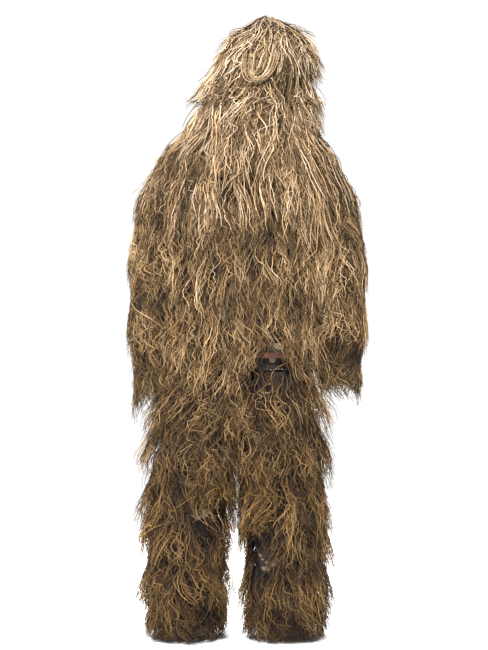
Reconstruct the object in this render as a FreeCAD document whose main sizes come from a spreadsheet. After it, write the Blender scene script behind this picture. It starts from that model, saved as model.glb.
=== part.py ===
"""Yarn ghillie suit: trousers, zipped jacket and a separate hood with a short cape.

Millimetres. +Z is up, the wearer faces -Y, and the origin is on the floor between the heels.
The wearer's left side is +X. The suit has the stance it takes when worn, with the body leaning
a little to the wearer's right.

Each garment stretch is a stack of ellipses. A stack gives the cloth, a thin tube, and the fringe
over it, a ring whose outer face steps out tier by tier like shingles.
"""
import FreeCAD, Part
import Sketcher
import os

doc = FreeCAD.newDocument("GhillieSuit")
sheet = doc.addObject("Spreadsheet::Sheet", "Sizes")

# ---------------------------------------------------------------------------
# Driving dimensions
# ---------------------------------------------------------------------------

SIZES = {
    "cloth": 3.0,               # base cloth, lining and netting together
    "fringe_gap": 1.0,          # fringe clear of the cloth under it
    "fringe_root": 3.0,         # thickness where a tier starts
    "tier_step": 5.0,           # height over which one tier gives way to the next
    "overshoot": 2.0,           # a cutting tool runs past the faces it cuts
    "reach": 900.0,             # larger than the suit in any direction from its middle
    "jacket_centre": -25.0,
    "arm_centre": -35.0,
    "arm_plane": 224.0,         # the sleeves lie outside this distance from the arm centre
    "armhole_height": 1280.0,
    "armhole_radius": 53.0,
    "armhole_band": 3.5,
    "armhole_inner": 150.0,
    "armhole_outer": 222.5,
    "armhole_clearance": 1.0,
    "armhole_mouth": 8.0,
    "seat_floor": 3.0,
    "waistband_thickness": 7.0,
    "waistband_low": 1002.0,
    "waistband_high": 1044.0,
    "waistband_width": 154.0,
    "waistband_depth": 106.0,
    "waist_centre": -19.0,
    "waist_wall": 1.8,
    "waist_play": 0.5,
    "collar_low": 1477.0,
    "collar_high": 1520.0,
    "collar_width": 80.0,
    "collar_depth": 72.0,
    "hem_tape_low": 828.0,
    "hem_tape_high": 844.4,
    "front_gap": 8.0,           # half the opening that the zip fills
    "front_fringe_gap": 14.0,
    "side_seam": 1.0,
    "face_centre": -85.0,
    "face_height": 1665.0,
    "face_width": 62.0,
    "face_tall": 84.0,
    "casing_width": 14.0,
    "casing_low": 0.6,
    "casing_high": 6.6,
    "elastic_low": 2.4,
    "elastic_high": 4.8,
    "elastic_inner": 2.0,
    "elastic_outer": 9.0,
    "elastic_play": 0.5,
    "crown_top": 1826.0,
    "crown_cap_width": 34.0,
    "crown_cap_depth": 38.0,
    "cuff_radius": 45.0,
    "cuff_low": 752.0,
    "cuff_high": 792.0,
    "hem_radius": 84.0,
    "hem_low": 18.0,
    "hem_high": 48.0,
    "zip_low": 852.0,
    "zip_high": 1336.0,
    "zip_face": -126.8,         # the tape's middle plane
    "tape_thickness": 1.2,
    "tape_inner": 1.5,
    "tape_outer": 7.5,
    "tooth_inner": 1.1,
    "tooth_outer": 4.1,
    "tooth_depth": 3.8,
    "tooth_height": 3.0,
    "tooth_pitch": 6.0,
    "tooth_count": 79.0,
    "bead_width": 1.6,
    "bead_depth": 2.6,
    "slider_width": 6.0,
    "slider_tall": 13.0,
    "plate_thickness": 1.6,
    "plate_gap": 2.5,           # from the tape's middle plane to each plate
    "post_width": 0.7,
    "bail_width": 1.4,
    "bail_eye": 3.4,            # square hole that the puller's crossbar turns in
    "bail_bar": 1.4,
    "bail_drop": 5.0,           # from the slider's top edge down to the puller's axis
    "crossbar": 1.1,            # half the height of the puller's crossbar
    "puller_width": 4.0,
    "puller_length": 34.0,
    "puller_thickness": 1.6,
    "puller_rail": 1.2,
    "puller_window": 5.4,
    "puller_corner": 1.8,
    "grip_width": 2.0,
    "grip_low": 4.0,
    "grip_high": 12.0,
    "stop_width": 6.5,
    "stop_height": 5.0,
    "stop_depth": 4.6,
    "box_height": 9.0,
    "loop_width": 32.0,
    "loop_tall": 9.0,
    "loop_band": 7.0,
    "loop_thickness": 2.0,
    "loop_height": 1500.0,
    "loop_inset": 10.0,
    "sketch_across": 20.0,      # sketches sit this far from their origin, so no dimension is negative
    "sketch_up": 100.0,
    "stop_gap": 0.3,            # clear space between the tapes' ends and the end stops
    "slider_rest": 1.0,         # closed slider's distance below the tapes' top
    "post_rise": 3.0,           # the slider's post starts this far above its lower edge
    "bead_clearance": 0.1,
    "bead_slot_depth": 5.0,
}

# Each row of a stack: height, centre of the garment, distance of the limb from that centre,
# half width, half depth, and how far the fringe stands out where its tier ends.
STACKS = {
    "crown": [
        (1792, -98, 0, 22, 27, 0),
        (1772, -97, 0, 56, 66, 30),
        (1735, -95, 0, 84, 98, 40),
        (1680, -88, 0, 98, 114, 44),
        (1620, -74, 0, 100, 112, 56),
        (1562, -62, 0, 104, 108, 60),
    ],
    "cape": [
        (1558, -60, 0, 108, 104, 20),
        (1520, -54, 0, 136, 112, 34),
        (1480, -48, 0, 166, 122, 28),
        (1440, -42, 0, 188, 132, 20),
        (1402, -35, 0, 204, 138, 16),
        (1346, -33, 0, 208, 138, 12),
    ],
    "torso": [
        (1475, -25, 0, 84, 76, 0),
        (1440, -25, 0, 144, 104, 0),
        (1402, -25, 0, 178, 126, 0),
        (1338, -25, 0, 196, 128, 0),
        (1240, -25, 0, 196, 128, 11),
        (1140, -25, 0, 196, 128, 12),
        (1040, -25, 0, 197, 128, 12),
        (940, -25, 0, 198, 128, 11),
        (845, -25, 0, 198, 128, 11),
        (806, -25, 0, 199, 129, 11),
    ],
    "sleeve": [
        (1455, -35, 196, 44, 50, 0),
        (1388, -35, 206, 54, 60, 14),
        (1294, -35, 246, 56, 62, 18),
        (1199, -35, 264, 56, 62, 20),
        (1092, -35, 281, 56, 60, 20),
    ],
    "forearm": [
        (1088, -35, 281, 56, 60, 0),
        (990, -35, 284, 52, 58, 18),
        (890, -35, 282, 50, 55, 24),
        (795, -35, 274, 47, 51, 20),
        (702, -35, 273, 47, 51, 20),
    ],
    "seat": [
        (1000, -19, 0, 150, 100, 0),
        (950, -16, 0, 166, 108, 6),
        (880, -15, 0, 172, 112, 7),
        (792, -15, 0, 172, 112, 8),
    ],
    "thigh": [
        (788, -10, 92, 74, 96, 0),
        (700, -8, 102, 79, 96, 8),
        (610, -5, 118, 82, 94, 24),
        (530, -3, 129, 84, 92, 34),
        (452, -1, 137, 86, 90, 42),
    ],
    "shin": [
        (448, -1, 138, 86, 90, 0),
        (360, 0, 141, 87, 90, 44),
        (270, 0, 144, 87, 90, 46),
        (180, 0, 146, 87, 90, 48),
        (100, 0, 147, 87, 89, 48),
        (50, 0, 147, 87, 88, 48),
        (3, 0, 147, 88, 89, 50),
    ],
}

# Rows of each stack that carry cloth; the rows after them carry only hanging yarn.
CLOTH_ROWS = {"crown": 6, "cape": 5, "torso": 9, "sleeve": 5, "forearm": 4,
              "seat": 4, "thigh": 5, "shin": 6}
COLUMNS = ("height", "lean", "offset", "width", "depth", "fringe")
# Stacks whose ellipses are deeper than they are wide have their long axis along Y.
DEEP = {"crown", "sleeve", "forearm", "thigh", "shin"}
LEFT, RIGHT = 1, -1
SIDE_NAMES = {LEFT: "left", RIGHT: "right"}


def fill_sheet():
    """Writes every driving dimension into the sheet, one aliased cell each."""
    cells = dict(SIZES)
    for stack, rows in STACKS.items():
        for number, row in enumerate(rows):
            for column, value in zip(COLUMNS, row):
                cells[f"{stack}_{number}_{column}"] = value
    for line, (alias, value) in enumerate(cells.items(), start=1):
        sheet.set(f"A{line}", alias)
        sheet.set(f"B{line}", str(value))
        sheet.setAlias(f"B{line}", alias)
    doc.recompute()


def size(alias):
    """The expression that reads one cell."""
    return f"Sizes.{alias}"


parts = {}


def keep(node, shape_object):
    """Registers a finished sub-part under its node name."""
    shape_object.Label = node
    parts[node] = shape_object
    return shape_object


# ---------------------------------------------------------------------------
# Primitive helpers, all bound to the sheet
# ---------------------------------------------------------------------------

def bound(kind, label, **expressions):
    """A document object whose properties follow the given expressions."""
    made = doc.addObject(kind, label)
    for name, expression in expressions.items():
        made.setExpression(name.replace("__", "."), str(expression))
    return made


def boxed(label, low, high):
    """A box between two corners, each three expressions."""
    lengths = [f"({top}) - ({bottom})" for bottom, top in zip(low, high)]
    return bound("Part::Box", label, Length=lengths[0], Width=lengths[1], Height=lengths[2],
                 Placement__Base__x=low[0], Placement__Base__y=low[1], Placement__Base__z=low[2])


def cylinder_along_x(label, radius, start, end, height, depth="0"):
    """A round bar along X at the given height and depth."""
    made = doc.addObject("Part::Cylinder", label)
    turn = FreeCAD.Rotation(FreeCAD.Vector(0, 1, 0), 90)
    made.Placement = FreeCAD.Placement(FreeCAD.Vector(0, 0, 0), turn)
    for name, expression in (("Radius", radius), ("Height", f"({end}) - ({start})"),
                             ("Placement.Base.x", start), ("Placement.Base.y", depth),
                             ("Placement.Base.z", height)):
        made.setExpression(name, str(expression))
    return made


def cut(label, base, tool):
    made = doc.addObject("Part::Cut", label)
    made.Base, made.Tool = base, tool
    return made


def common(label, base, tool):
    made = doc.addObject("Part::Common", label)
    made.Base, made.Tool = base, tool
    return made


def fuse(label, shapes):
    made = doc.addObject("Part::MultiFuse", label)
    made.Shapes = shapes
    return made


def ellipse(label, deep, centre, height, width, depth):
    """A horizontal ellipse; its long axis is along Y when deep is true."""
    made = doc.addObject("Part::Ellipse", label)
    made.MajorRadius, made.MinorRadius = 2, 1
    turn = FreeCAD.Rotation(FreeCAD.Vector(0, 0, 1), 90 if deep else 0)
    made.Placement = FreeCAD.Placement(FreeCAD.Vector(0, 0, 0), turn)
    long_side, short_side = (depth, width) if deep else (width, depth)
    for name, expression in (("MajorRadius", long_side), ("MinorRadius", short_side),
                             ("Placement.Base.x", centre), ("Placement.Base.z", height)):
        made.setExpression(name, expression)
    return made


def loft(label, sections):
    made = doc.addObject("Part::Loft", label)
    made.Sections = sections
    made.Solid = True
    made.Ruled = True
    return made


# ---------------------------------------------------------------------------
# Garment stacks
# ---------------------------------------------------------------------------

def row_section(label, stack, number, side, grow, rise="0", grow_depth=None):
    """One ellipse of a stack, grown outwards and lifted by expressions."""
    cell = f"Sizes.{stack}_{number}"
    return ellipse(f"{label}_ring", stack in DEEP,
                   centre=f"{cell}_lean + {side} * {cell}_offset",
                   height=f"{cell}_height + ({rise})",
                   width=f"{cell}_width + ({grow})",
                   depth=f"{cell}_depth + ({grow_depth or grow})")


def plain_loft(label, stack, side, grow, rows, top_rise="0", bottom_rise="0"):
    """A solid through the given rows of a stack, its end faces moved by the two rises."""
    rises = {rows[0]: top_rise, rows[-1]: bottom_rise}
    sections = [row_section(label, stack, number, side, grow, rises.get(number, "0"))
                for number in rows]
    return loft(label, sections)


def cloth_tube(node, stack, side=LEFT, closed_top=False):
    """The base cloth of one stack: a thin tube, closed at the top on request."""
    rows = range(CLOTH_ROWS[stack])
    past = size("overshoot")
    inner_top = f"-{size('cloth')}" if closed_top else past
    outside = plain_loft(f"{node}_outside", stack, side, "0", rows)
    inside = plain_loft(f"{node}_inside", stack, side, f"-{size('cloth')}", rows, inner_top, f"-{past}")
    return outside, inside


def stepped_loft(label, stack, side, rows, depth_ratio=1.0, cap=None):
    """The fringe's outer face: each tier widens down to its end, then steps back in."""
    sections = [cap] if cap else []
    root = size("fringe_root")
    for upper, lower in zip(rows[:-1], rows[1:]):
        if not (cap and upper == rows[0]):
            step = "0" if upper == rows[0] else f"-{size('tier_step')}"
            sections.append(row_section(label, stack, upper, side, root, step))
        tip = size(f"{stack}_{lower}_fringe")
        sections.append(row_section(label, stack, lower, side, tip, "0", f"{tip} * {depth_ratio}"))
    return loft(label, sections)


def fringe_ring(node, stack, side=LEFT, first=0, depth_ratio=1.0, cap=None, top_rise=None):
    """The fringe over one stack, clear of its cloth by the fringe gap."""
    rows = range(first, len(STACKS[stack]))
    past = size("overshoot")
    outside = stepped_loft(f"{node}_outside", stack, side, rows, depth_ratio, cap)
    inside = plain_loft(f"{node}_inside", stack, side, size("fringe_gap"), rows,
                        top_rise or past, f"-{past}")
    return cut(f"{node}_ring", outside, inside)


def everywhere(axis, low=None, high=None):
    """Corners of a very large box, limited along one axis by expressions."""
    reach = size("reach")
    corners = [[f"-{reach}", f"-{reach}", "0"], [reach, reach, f"3 * {reach}"]]
    if low is not None:
        corners[0][axis] = low
    if high is not None:
        corners[1][axis] = high
    return corners


# ---------------------------------------------------------------------------
# Trousers
# ---------------------------------------------------------------------------

def make_waistband():
    """A sewn casing, open at its top edge, with the elastic ring loose inside it."""
    def ring(label, low, high, shrink):
        sections = [ellipse(f"{label}_section", False, size("waist_centre"), height,
                            f"{size('waistband_width')} - ({shrink})",
                            f"{size('waistband_depth')} - ({shrink})") for height in (low, high)]
        return loft(label, sections)

    wall, play, past = size("waist_wall"), size("waist_play"), size("overshoot")
    thickness = size("waistband_thickness")
    low, high = size("waistband_low"), size("waistband_high")
    outer = ring("waist_outer", low, high, "0")
    bore = ring("waist_bore", f"{low} - {past}", f"{high} + {past}", thickness)
    groove = cut("waist_groove",
                 ring("groove_outer", f"{low} + {wall}", f"{high} + {past}", wall),
                 ring("groove_inner", low, f"{high} + 2 * {past}", f"{thickness} - {wall}"))
    keep("trousers_waistband", cut("waist_casing", cut("waist_band", outer, bore), groove))
    elastic_low, elastic_high = f"{low} + {wall} + {play}", f"{high} - {wall}"
    keep("trousers_waist_elastic", cut(
        "waist_elastic",
        ring("elastic_outer", elastic_low, elastic_high, f"{wall} + {play}"),
        ring("elastic_inner", low, high, f"{thickness} - {wall} - {play}")))


def make_seat():
    """The seat: open at the waist, with a gusset floor that has the two leg openings."""
    outside, inside = cloth_tube("seat", "seat")
    inside.Sections[-1].setExpression(
        "Placement.Base.z", f"Sizes.seat_3_height + {size('seat_floor')}")
    hollow = cut("seat_hollow", outside, inside)
    for side in (LEFT, RIGHT):
        name = f"{SIDE_NAMES[side]}_leg_opening"
        past = size("overshoot")
        sections = [row_section(name, "thigh", 0, side, f"-{size('cloth')}", rise)
                    for rise in (f"-{past}", f"{size('seat_floor')} + 3 * {past}")]
        hollow = cut(f"seat_{name}", hollow, loft(name, sections))
    keep("trousers_seat", hollow)
    keep("seat_fringe", fringe_ring("seat_fringe", "seat"))


def make_leg(side):
    """Upper and lower leg, each a cloth tube with its fringe, and the elasticated hem."""
    name = SIDE_NAMES[side]
    for stack in ("thigh", "shin"):
        keep(f"{name}_{stack}_cloth", cut(f"{name}_{stack}_tube",
                                          *cloth_tube(f"{name}_{stack}", stack, side)))
        keep(f"{name}_{stack}_fringe", fringe_ring(f"{name}_{stack}_fringe", stack, side))
    keep(f"{name}_leg_hem", round_band(f"{name}_hem", side, "shin", 5, "hem"))


def round_band(label, side, stack, number, band):
    """A circular elastic band, from BAND_low to BAND_high, centred on one row of a stack."""
    cell = f"Sizes.{stack}_{number}"
    centre = f"{cell}_lean + {side} * {cell}_offset"
    low, high = size(f"{band}_low"), size(f"{band}_high")
    radius, past = size(f"{band}_radius"), size("overshoot")
    outer = bound("Part::Cylinder", f"{label}_outer", Radius=radius, Height=f"{high} - {low}",
                  Placement__Base__x=centre, Placement__Base__z=low)
    bore = bound("Part::Cylinder", f"{label}_bore", Radius=f"{radius} - {size('cloth')}",
                 Height=f"{high} - {low} + 2 * {past}", Placement__Base__x=centre,
                 Placement__Base__z=f"{low} - {past}")
    return cut(f"{label}_band", outer, bore)


# ---------------------------------------------------------------------------
# Jacket
# ---------------------------------------------------------------------------

def armhole(label, side, grow="0"):
    """A bar through the body and sleeve at one armhole."""
    centre, reach = size("arm_centre"), size("reach")
    near = f"{centre} + {size('armhole_inner')}" if side == LEFT else f"{centre} - {reach}"
    far = f"{centre} + {reach}" if side == LEFT else f"{centre} - {size('armhole_inner')}"
    return cylinder_along_x(label, f"{size('armhole_radius')} + ({grow})", near, far,
                            size("armhole_height"))


def without_armholes(label, shape, grow):
    for side in (LEFT, RIGHT):
        name = f"{label}_{SIDE_NAMES[side]}"
        shape = cut(f"{name}_cut", shape, armhole(f"{name}_bar", side, grow))
    return shape


def front_and_back(label, shape, gap):
    """Splits a ring into its back and its two fronts, which stop short of the zip."""
    seam, centre = size("side_seam"), size("jacket_centre")
    back = common(f"{label}_back", shape, boxed(f"{label}_back_box", *everywhere(1, low=seam)))
    halves = {}
    for side in (LEFT, RIGHT):
        low, high = everywhere(1, high=f"-{seam}")
        if side == LEFT:
            low[0] = f"{centre} + {gap}"
        else:
            high[0] = f"{centre} - {gap}"
        name = f"{label}_{SIDE_NAMES[side]}"
        halves[side] = common(name, shape, boxed(f"{name}_box", low, high))
    return back, halves


def make_jacket_cloth():
    shell = cut("torso_tube", *cloth_tube("torso", "torso"))
    shell = without_armholes("torso_armhole", shell, size("armhole_clearance"))
    back, halves = front_and_back("torso", shell, size("front_gap"))
    keep("jacket_back", back)
    for side, half in halves.items():
        keep(f"jacket_front_{SIDE_NAMES[side]}", half)


def make_jacket_fringe():
    ring = fringe_ring("jacket_fringe", "torso", first=3, depth_ratio=1.7)
    clear = f"{size('armhole_band')} + 2 * {size('armhole_clearance')}"
    ring = without_armholes("fringe_armhole", ring, clear)
    back, halves = front_and_back("fringe", ring, size("front_fringe_gap"))
    keep("jacket_back_fringe", back)
    for side, half in halves.items():
        keep(f"jacket_front_{SIDE_NAMES[side]}_fringe", half)


def make_armhole_bands():
    """The seam bands that carry the sleeves: short tubes from the body out to each sleeve."""
    grown = plain_loft("torso_keep_out", "torso", LEFT, f"{size('fringe_gap')} / 2",
                       range(CLOTH_ROWS["torso"]))
    for side in (LEFT, RIGHT):
        name = f"{SIDE_NAMES[side]}_armhole_band"
        ends = [f"{size('arm_centre')} + {side} * {size(alias)}"
                for alias in ("armhole_inner", "armhole_outer")]
        start, end = ends if side == LEFT else ends[::-1]
        radius, height = size("armhole_radius"), size("armhole_height")
        outer = cylinder_along_x(f"{name}_outer", f"{radius} + {size('armhole_band')}",
                                 start, end, height)
        past = size("overshoot")
        bore = cylinder_along_x(f"{name}_bore", f"{radius} + {size('fringe_gap')}",
                                f"{start} - {past}", f"{end} + {past}", height)
        keep(name, cut(f"{name}_outside_body", cut(f"{name}_tube", outer, bore), grown))


def slotted(label, shape):
    """Opens a ring at the front over the width of the zip."""
    centre, gap = size("jacket_centre"), size("front_gap")
    low, high = everywhere(1, high="0")
    low[0], high[0] = f"{centre} - {gap}", f"{centre} + {gap}"
    return cut(label, shape, boxed(f"{label}_box", low, high))


def elliptic_ring(label, centre, low, high, width, depth):
    """An upright elliptical tube of cloth thickness."""
    past, cloth = size("overshoot"), size("cloth")
    outer = loft(f"{label}_outer", [ellipse(f"{label}_section", False, centre, height, width, depth)
                                    for height in (low, high)])
    bore = loft(f"{label}_bore", [
        ellipse(f"{label}_section", False, centre, height, f"{width} - {cloth}", f"{depth} - {cloth}")
        for height in (f"{low} - {past}", f"{high} + {past}")])
    return cut(f"{label}_ring", outer, bore)


def make_collar_and_hem():
    collar = elliptic_ring("collar", size("jacket_centre"), size("collar_low"), size("collar_high"),
                           size("collar_width"), size("collar_depth"))
    keep("jacket_collar", slotted("collar_slot", collar))
    tape = elliptic_ring("hem_tape", size("jacket_centre"), size("hem_tape_low"), size("hem_tape_high"),
                         "Sizes.torso_8_width", "Sizes.torso_8_depth")
    keep("jacket_hem_tape", slotted("hem_tape_slot", tape))


def new_sketch(body, name, plane):
    """A sketch on one of the body's own origin planes."""
    sketch = body.newObject("Sketcher::SketchObject", name)
    origin_plane = [f for f in body.Origin.OriginFeatures if f.Role == plane][0]
    sketch.AttachmentSupport = [(origin_plane, "")]
    sketch.MapMode = "FlatFace"
    return sketch


def rectangle(sketch, name, low, high):
    """A rectangle whose four sides are dimensioned from the sketch's origin by expressions."""
    first = sketch.GeometryCount
    corners = [(1, 1), (2, 1), (2, 2), (1, 2)]
    for (x0, y0), (x1, y1) in zip(corners, corners[1:] + corners[:1]):
        sketch.addGeometry(Part.LineSegment(FreeCAD.Vector(x0, y0, 0), FreeCAD.Vector(x1, y1, 0)))
    for side in range(4):
        following = first + (side + 1) % 4
        sketch.addConstraint(Sketcher.Constraint("Coincident", first + side, 2, following, 1))
        kind = "Horizontal" if side % 2 == 0 else "Vertical"
        sketch.addConstraint(Sketcher.Constraint(kind, first + side))
    for kind, expressions in (("DistanceX", (low[0], high[0])), ("DistanceY", (low[1], high[1]))):
        for label, corner, expression in (("low", 0, expressions[0]), ("high", 2, expressions[1])):
            value = 1.0 if corner == 0 else 2.0
            index = sketch.addConstraint(
                Sketcher.Constraint(kind, -1, 1, first + corner, 1, value))
            title = f"{name}_{label}_{kind[-1]}"
            sketch.renameConstraint(index, title)
            sketch.setExpression(f"Constraints.{title}", expression)


def pad(body, sketch, name, length, reversed_way=False, feature="PartDesign::Pad"):
    made = body.newObject(feature, name)
    made.Profile = sketch
    made.Reversed = reversed_way
    made.setExpression("Length", length)
    return made


def make_zip_side(side):
    """One woven tape and the row of teeth on a bead along its edge."""
    name = SIDE_NAMES[side]
    centre = size("jacket_centre")
    near, far = [f"{centre} + {side} * {size(alias)}" for alias in ("tape_inner", "tape_outer")]
    start, end = (near, far) if side == LEFT else (far, near)
    half = f"{size('tape_thickness')} / 2"
    low = (start, f"{size('zip_face')} - {half}", size("zip_low"))
    high = (end, f"{size('zip_face')} + {half}", size("zip_high"))
    tape = boxed(f"zip_tape_{name}_web", low, high)
    half_slot = f"({size('tooth_outer')} + {size('bead_clearance')})"
    deep = size("bead_slot_depth")
    bead_slot = boxed(f"zip_tape_{name}_edge",
                      (f"{centre} - {half_slot}", f"{size('zip_face')} - {deep}", "0"),
                      (f"{centre} + {half_slot}", f"{size('zip_face')} + {deep}", f"2 * {size('reach')}"))
    keep(f"zip_tape_{name}", cut(f"zip_tape_{name}_trimmed", tape, bead_slot))
    make_teeth(side, name)


def make_teeth(side, name):
    body = doc.addObject("PartDesign::Body", f"zip_teeth_{name}")
    outer, inner, shift = size("tooth_outer"), size("tooth_inner"), size("sketch_across")
    bead_start = f"{outer} - {size('bead_width')}"
    bead = new_sketch(body, "bead_section", "XY_Plane")
    rectangle(bead, "bead", (bead_start, f"{shift} - {size('bead_depth')} / 2"),
              (outer, f"{shift} + {size('bead_depth')} / 2"))
    pad(body, bead, "bead", f"{size('tooth_pitch')} * {size('tooth_count')}")
    tooth_sketch = new_sketch(body, "tooth_section", "XY_Plane")
    rectangle(tooth_sketch, "tooth", (inner, f"{shift} - {size('tooth_depth')} / 2"),
              (outer, f"{shift} + {size('tooth_depth')} / 2"))
    tooth = pad(body, tooth_sketch, "tooth", size("tooth_height"))
    doc.recompute()
    pattern = body.newObject("PartDesign::LinearPattern", "tooth_row")
    pattern.Originals = [tooth]
    upright = [f for f in body.Origin.OriginFeatures if f.Role == "Z_Axis"][0]
    pattern.Direction = (upright, [""])
    pattern.setExpression("Length", f"{size('tooth_pitch')} * ({size('tooth_count')} - 1)")
    pattern.setExpression("Occurrences", size("tooth_count"))
    body.Tip = pattern
    # The right row is the left one turned half round about the zip's own line.
    turn = FreeCAD.Rotation(FreeCAD.Vector(0, 0, 1), 0 if side == LEFT else 180)
    body.Placement = FreeCAD.Placement(FreeCAD.Vector(0, 0, 0), turn)
    body.setExpression("Placement.Base.x", size("jacket_centre"))
    body.setExpression("Placement.Base.y", f"{size('zip_face')} - {side} * {shift}")
    body.setExpression("Placement.Base.z", f"{size('zip_low')} + {size('tape_thickness')}")
    keep(f"zip_teeth_{name}", body)


def make_zip_ends():
    """Two top stops, one on each tape, and the box that joins the tapes at the bottom."""
    centre, face = size("jacket_centre"), size("zip_face")
    half_depth, gap = f"{size('stop_depth')} / 2", size("stop_gap")
    stops = []
    for side in (LEFT, RIGHT):
        near = f"{centre} + {side} * {size('tooth_inner')}"
        far = f"{centre} + {side} * {size('stop_width')}"
        start, end = (near, far) if side == LEFT else (far, near)
        top = f"{size('zip_high')} + {size('stop_height')}"
        stops.append(boxed(f"{SIDE_NAMES[side]}_top_stop",
                           (start, f"{face} - {half_depth}", f"{size('zip_high')} + {gap}"),
                           (end, f"{face} + {half_depth}", top)))
    pair = doc.addObject("Part::Compound", "top_stop_pair")
    pair.Links = stops
    keep("zip_top_stops", pair)
    low = f"{size('zip_low')} - {gap} - {size('box_height')}"
    keep("zip_bottom_box", boxed(
        "bottom_box",
        (f"{centre} - {size('stop_width')}", f"{face} - {half_depth}", low),
        (f"{centre} + {size('stop_width')}", f"{face} + {half_depth}", f"{size('zip_low')} - {gap}")))


def make_slider():
    """Front and back plates joined by a thin post between the teeth, with a bail for the puller."""
    centre, face = size("jacket_centre"), size("zip_face")
    wide, tall = size("slider_width"), size("slider_tall")
    gap, plate = size("plate_gap"), size("plate_thickness")
    high = f"{size('zip_high')} - {size('slider_rest')}"
    low = f"{high} - {tall}"
    front_face = f"{face} - {gap} - {plate}"
    shapes = [
        boxed("front_plate", (f"{centre} - {wide}", front_face, low),
              (f"{centre} + {wide}", f"{face} - {gap}", high)),
        boxed("back_plate", (f"{centre} - {wide}", f"{face} + {gap}", low),
              (f"{centre} + {wide}", f"{face} + {gap} + {plate}", high)),
        boxed("post", (f"{centre} - {size('post_width')}", f"{face} - {gap} - {plate} / 2",
                       f"{low} + {size('post_rise')}"),
              (f"{centre} + {size('post_width')}", f"{face} + {gap} + {plate} / 2", high)),
    ]
    half, bar, eye = size("bail_width"), size("bail_bar"), size("bail_eye")
    axis = f"{high} - {size('bail_drop')}"
    bail_face = f"{front_face} - {eye} - {bar}"
    shapes.append(boxed("bail_front", (f"{centre} - {half}", bail_face, f"{axis} - {eye} / 2 - {bar}"),
                        (f"{centre} + {half}", f"{bail_face} + {bar}", f"{axis} + {eye} / 2 + {bar}")))
    for label, start in (("upper", f"{axis} + {eye} / 2"), ("lower", f"{axis} - {eye} / 2 - {bar}")):
        shapes.append(boxed(f"bail_{label}", (f"{centre} - {half}", bail_face, start),
                            (f"{centre} + {half}", f"{front_face} + {plate} / 2", f"{start} + {bar}")))
    keep("zip_slider", fuse("slider", shapes))


def make_puller():
    """A flat pull tab whose crossbar turns in the slider's bail, with a grip slot lower down."""
    body = doc.addObject("PartDesign::Body", "puller")
    width, bar, tall = size("puller_width"), size("crossbar"), size("puller_length")
    inside = f"({width} - {size('puller_rail')})"
    across, up = size("sketch_across"), size("sketch_up")
    blank = new_sketch(body, "tab_outline", "XZ_Plane")
    rectangle(blank, "tab", (f"{across} - {width}", f"{up} - {tall}"),
              (f"{across} + {width}", f"{up} + {bar}"))
    pad(body, blank, "tab", size("puller_thickness"))
    openings = {
        "window": (inside, f"{up} - {size('puller_window')}", f"{up} - {bar}"),
        "grip": (size("grip_width"), f"{up} - {tall} + {size('grip_low')}",
                 f"{up} - {tall} + {size('grip_high')}"),
    }
    for name, (half, low, high) in openings.items():
        outline = new_sketch(body, f"{name}_outline", "XZ_Plane")
        rectangle(outline, name, (f"{across} - {half}", low), (f"{across} + {half}", high))
        doc.recompute()
        slot = pad(body, outline, name, size("puller_thickness"), feature="PartDesign::Pocket")
        slot.Type = "ThroughAll"
        slot.Midplane = True
    doc.recompute()
    lower_corners = [f"Edge{number}" for number, edge in enumerate(slot.Shape.Edges, start=1)
                     if is_lower_corner(edge, slot.Shape.BoundBox)]
    rounding = body.newObject("PartDesign::Fillet", "tab_corners")
    rounding.Base = (slot, lower_corners)
    rounding.setExpression("Radius", size("puller_corner"))
    front_face = f"{size('zip_face')} - {size('plate_gap')} - {size('plate_thickness')}"
    body.setExpression("Placement.Base.x", f"{size('jacket_centre')} - {across}")
    body.setExpression("Placement.Base.y",
                       f"{front_face} - {size('bail_eye')} / 2 + {size('puller_thickness')} / 2")
    body.setExpression("Placement.Base.z",
                       f"{size('zip_high')} - {size('slider_rest')} - {size('bail_drop')} - {up}")
    keep("zip_puller", body)


def is_lower_corner(edge, box):
    """True for the two edges through the thickness at the outline's lower corners."""
    ends = [vertex.Point for vertex in edge.Vertexes]
    if len(ends) != 2 or abs(ends[0].y - ends[1].y) < 0.5:
        return False
    at_side = min(abs(ends[0].x - box.XMin), abs(ends[0].x - box.XMax)) < 0.01
    return at_side and abs(ends[0].z - box.ZMin) < 0.01


def make_hanger_loop():
    """A flat loop of tape inside the back of the collar."""
    body = doc.addObject("PartDesign::Body", "hanger")
    wide, tall, band, up = size("loop_width"), size("loop_tall"), size("loop_band"), size("sketch_up")
    outline = new_sketch(body, "loop_outline", "XZ_Plane")
    rectangle(outline, "outer", (f"{up} - {wide}", f"{up} - {tall}"), (f"{up} + {wide}", f"{up} + {tall}"))
    rectangle(outline, "inner", (f"{up} - {wide} + {band}", f"{up} - {tall} + {band} / 2"),
              (f"{up} + {wide} - {band}", f"{up} + {tall} - {band} / 2"))
    pad(body, outline, "loop", size("loop_thickness"))
    body.setExpression("Placement.Base.x", f"{size('jacket_centre')} - {up}")
    body.setExpression("Placement.Base.y",
                       f"{size('collar_depth')} - {size('cloth')} - {size('loop_inset')}")
    body.setExpression("Placement.Base.z", f"{size('loop_height')} - {up}")
    keep("hanger_loop", body)


# ---------------------------------------------------------------------------
# Sleeves
# ---------------------------------------------------------------------------

def outside_body(label, side, margin):
    """A box that keeps only what lies outside the body, past the arm plane."""
    edge = f"{size('arm_centre')} + {side} * ({size('arm_plane')} + {margin})"
    low, high = everywhere(0, low=edge) if side == LEFT else everywhere(0, high=edge)
    return boxed(label, low, high)


def trimmed(label, shape, side, margin="0"):
    return common(label, shape, outside_body(f"{label}_side", side, margin))


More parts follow.
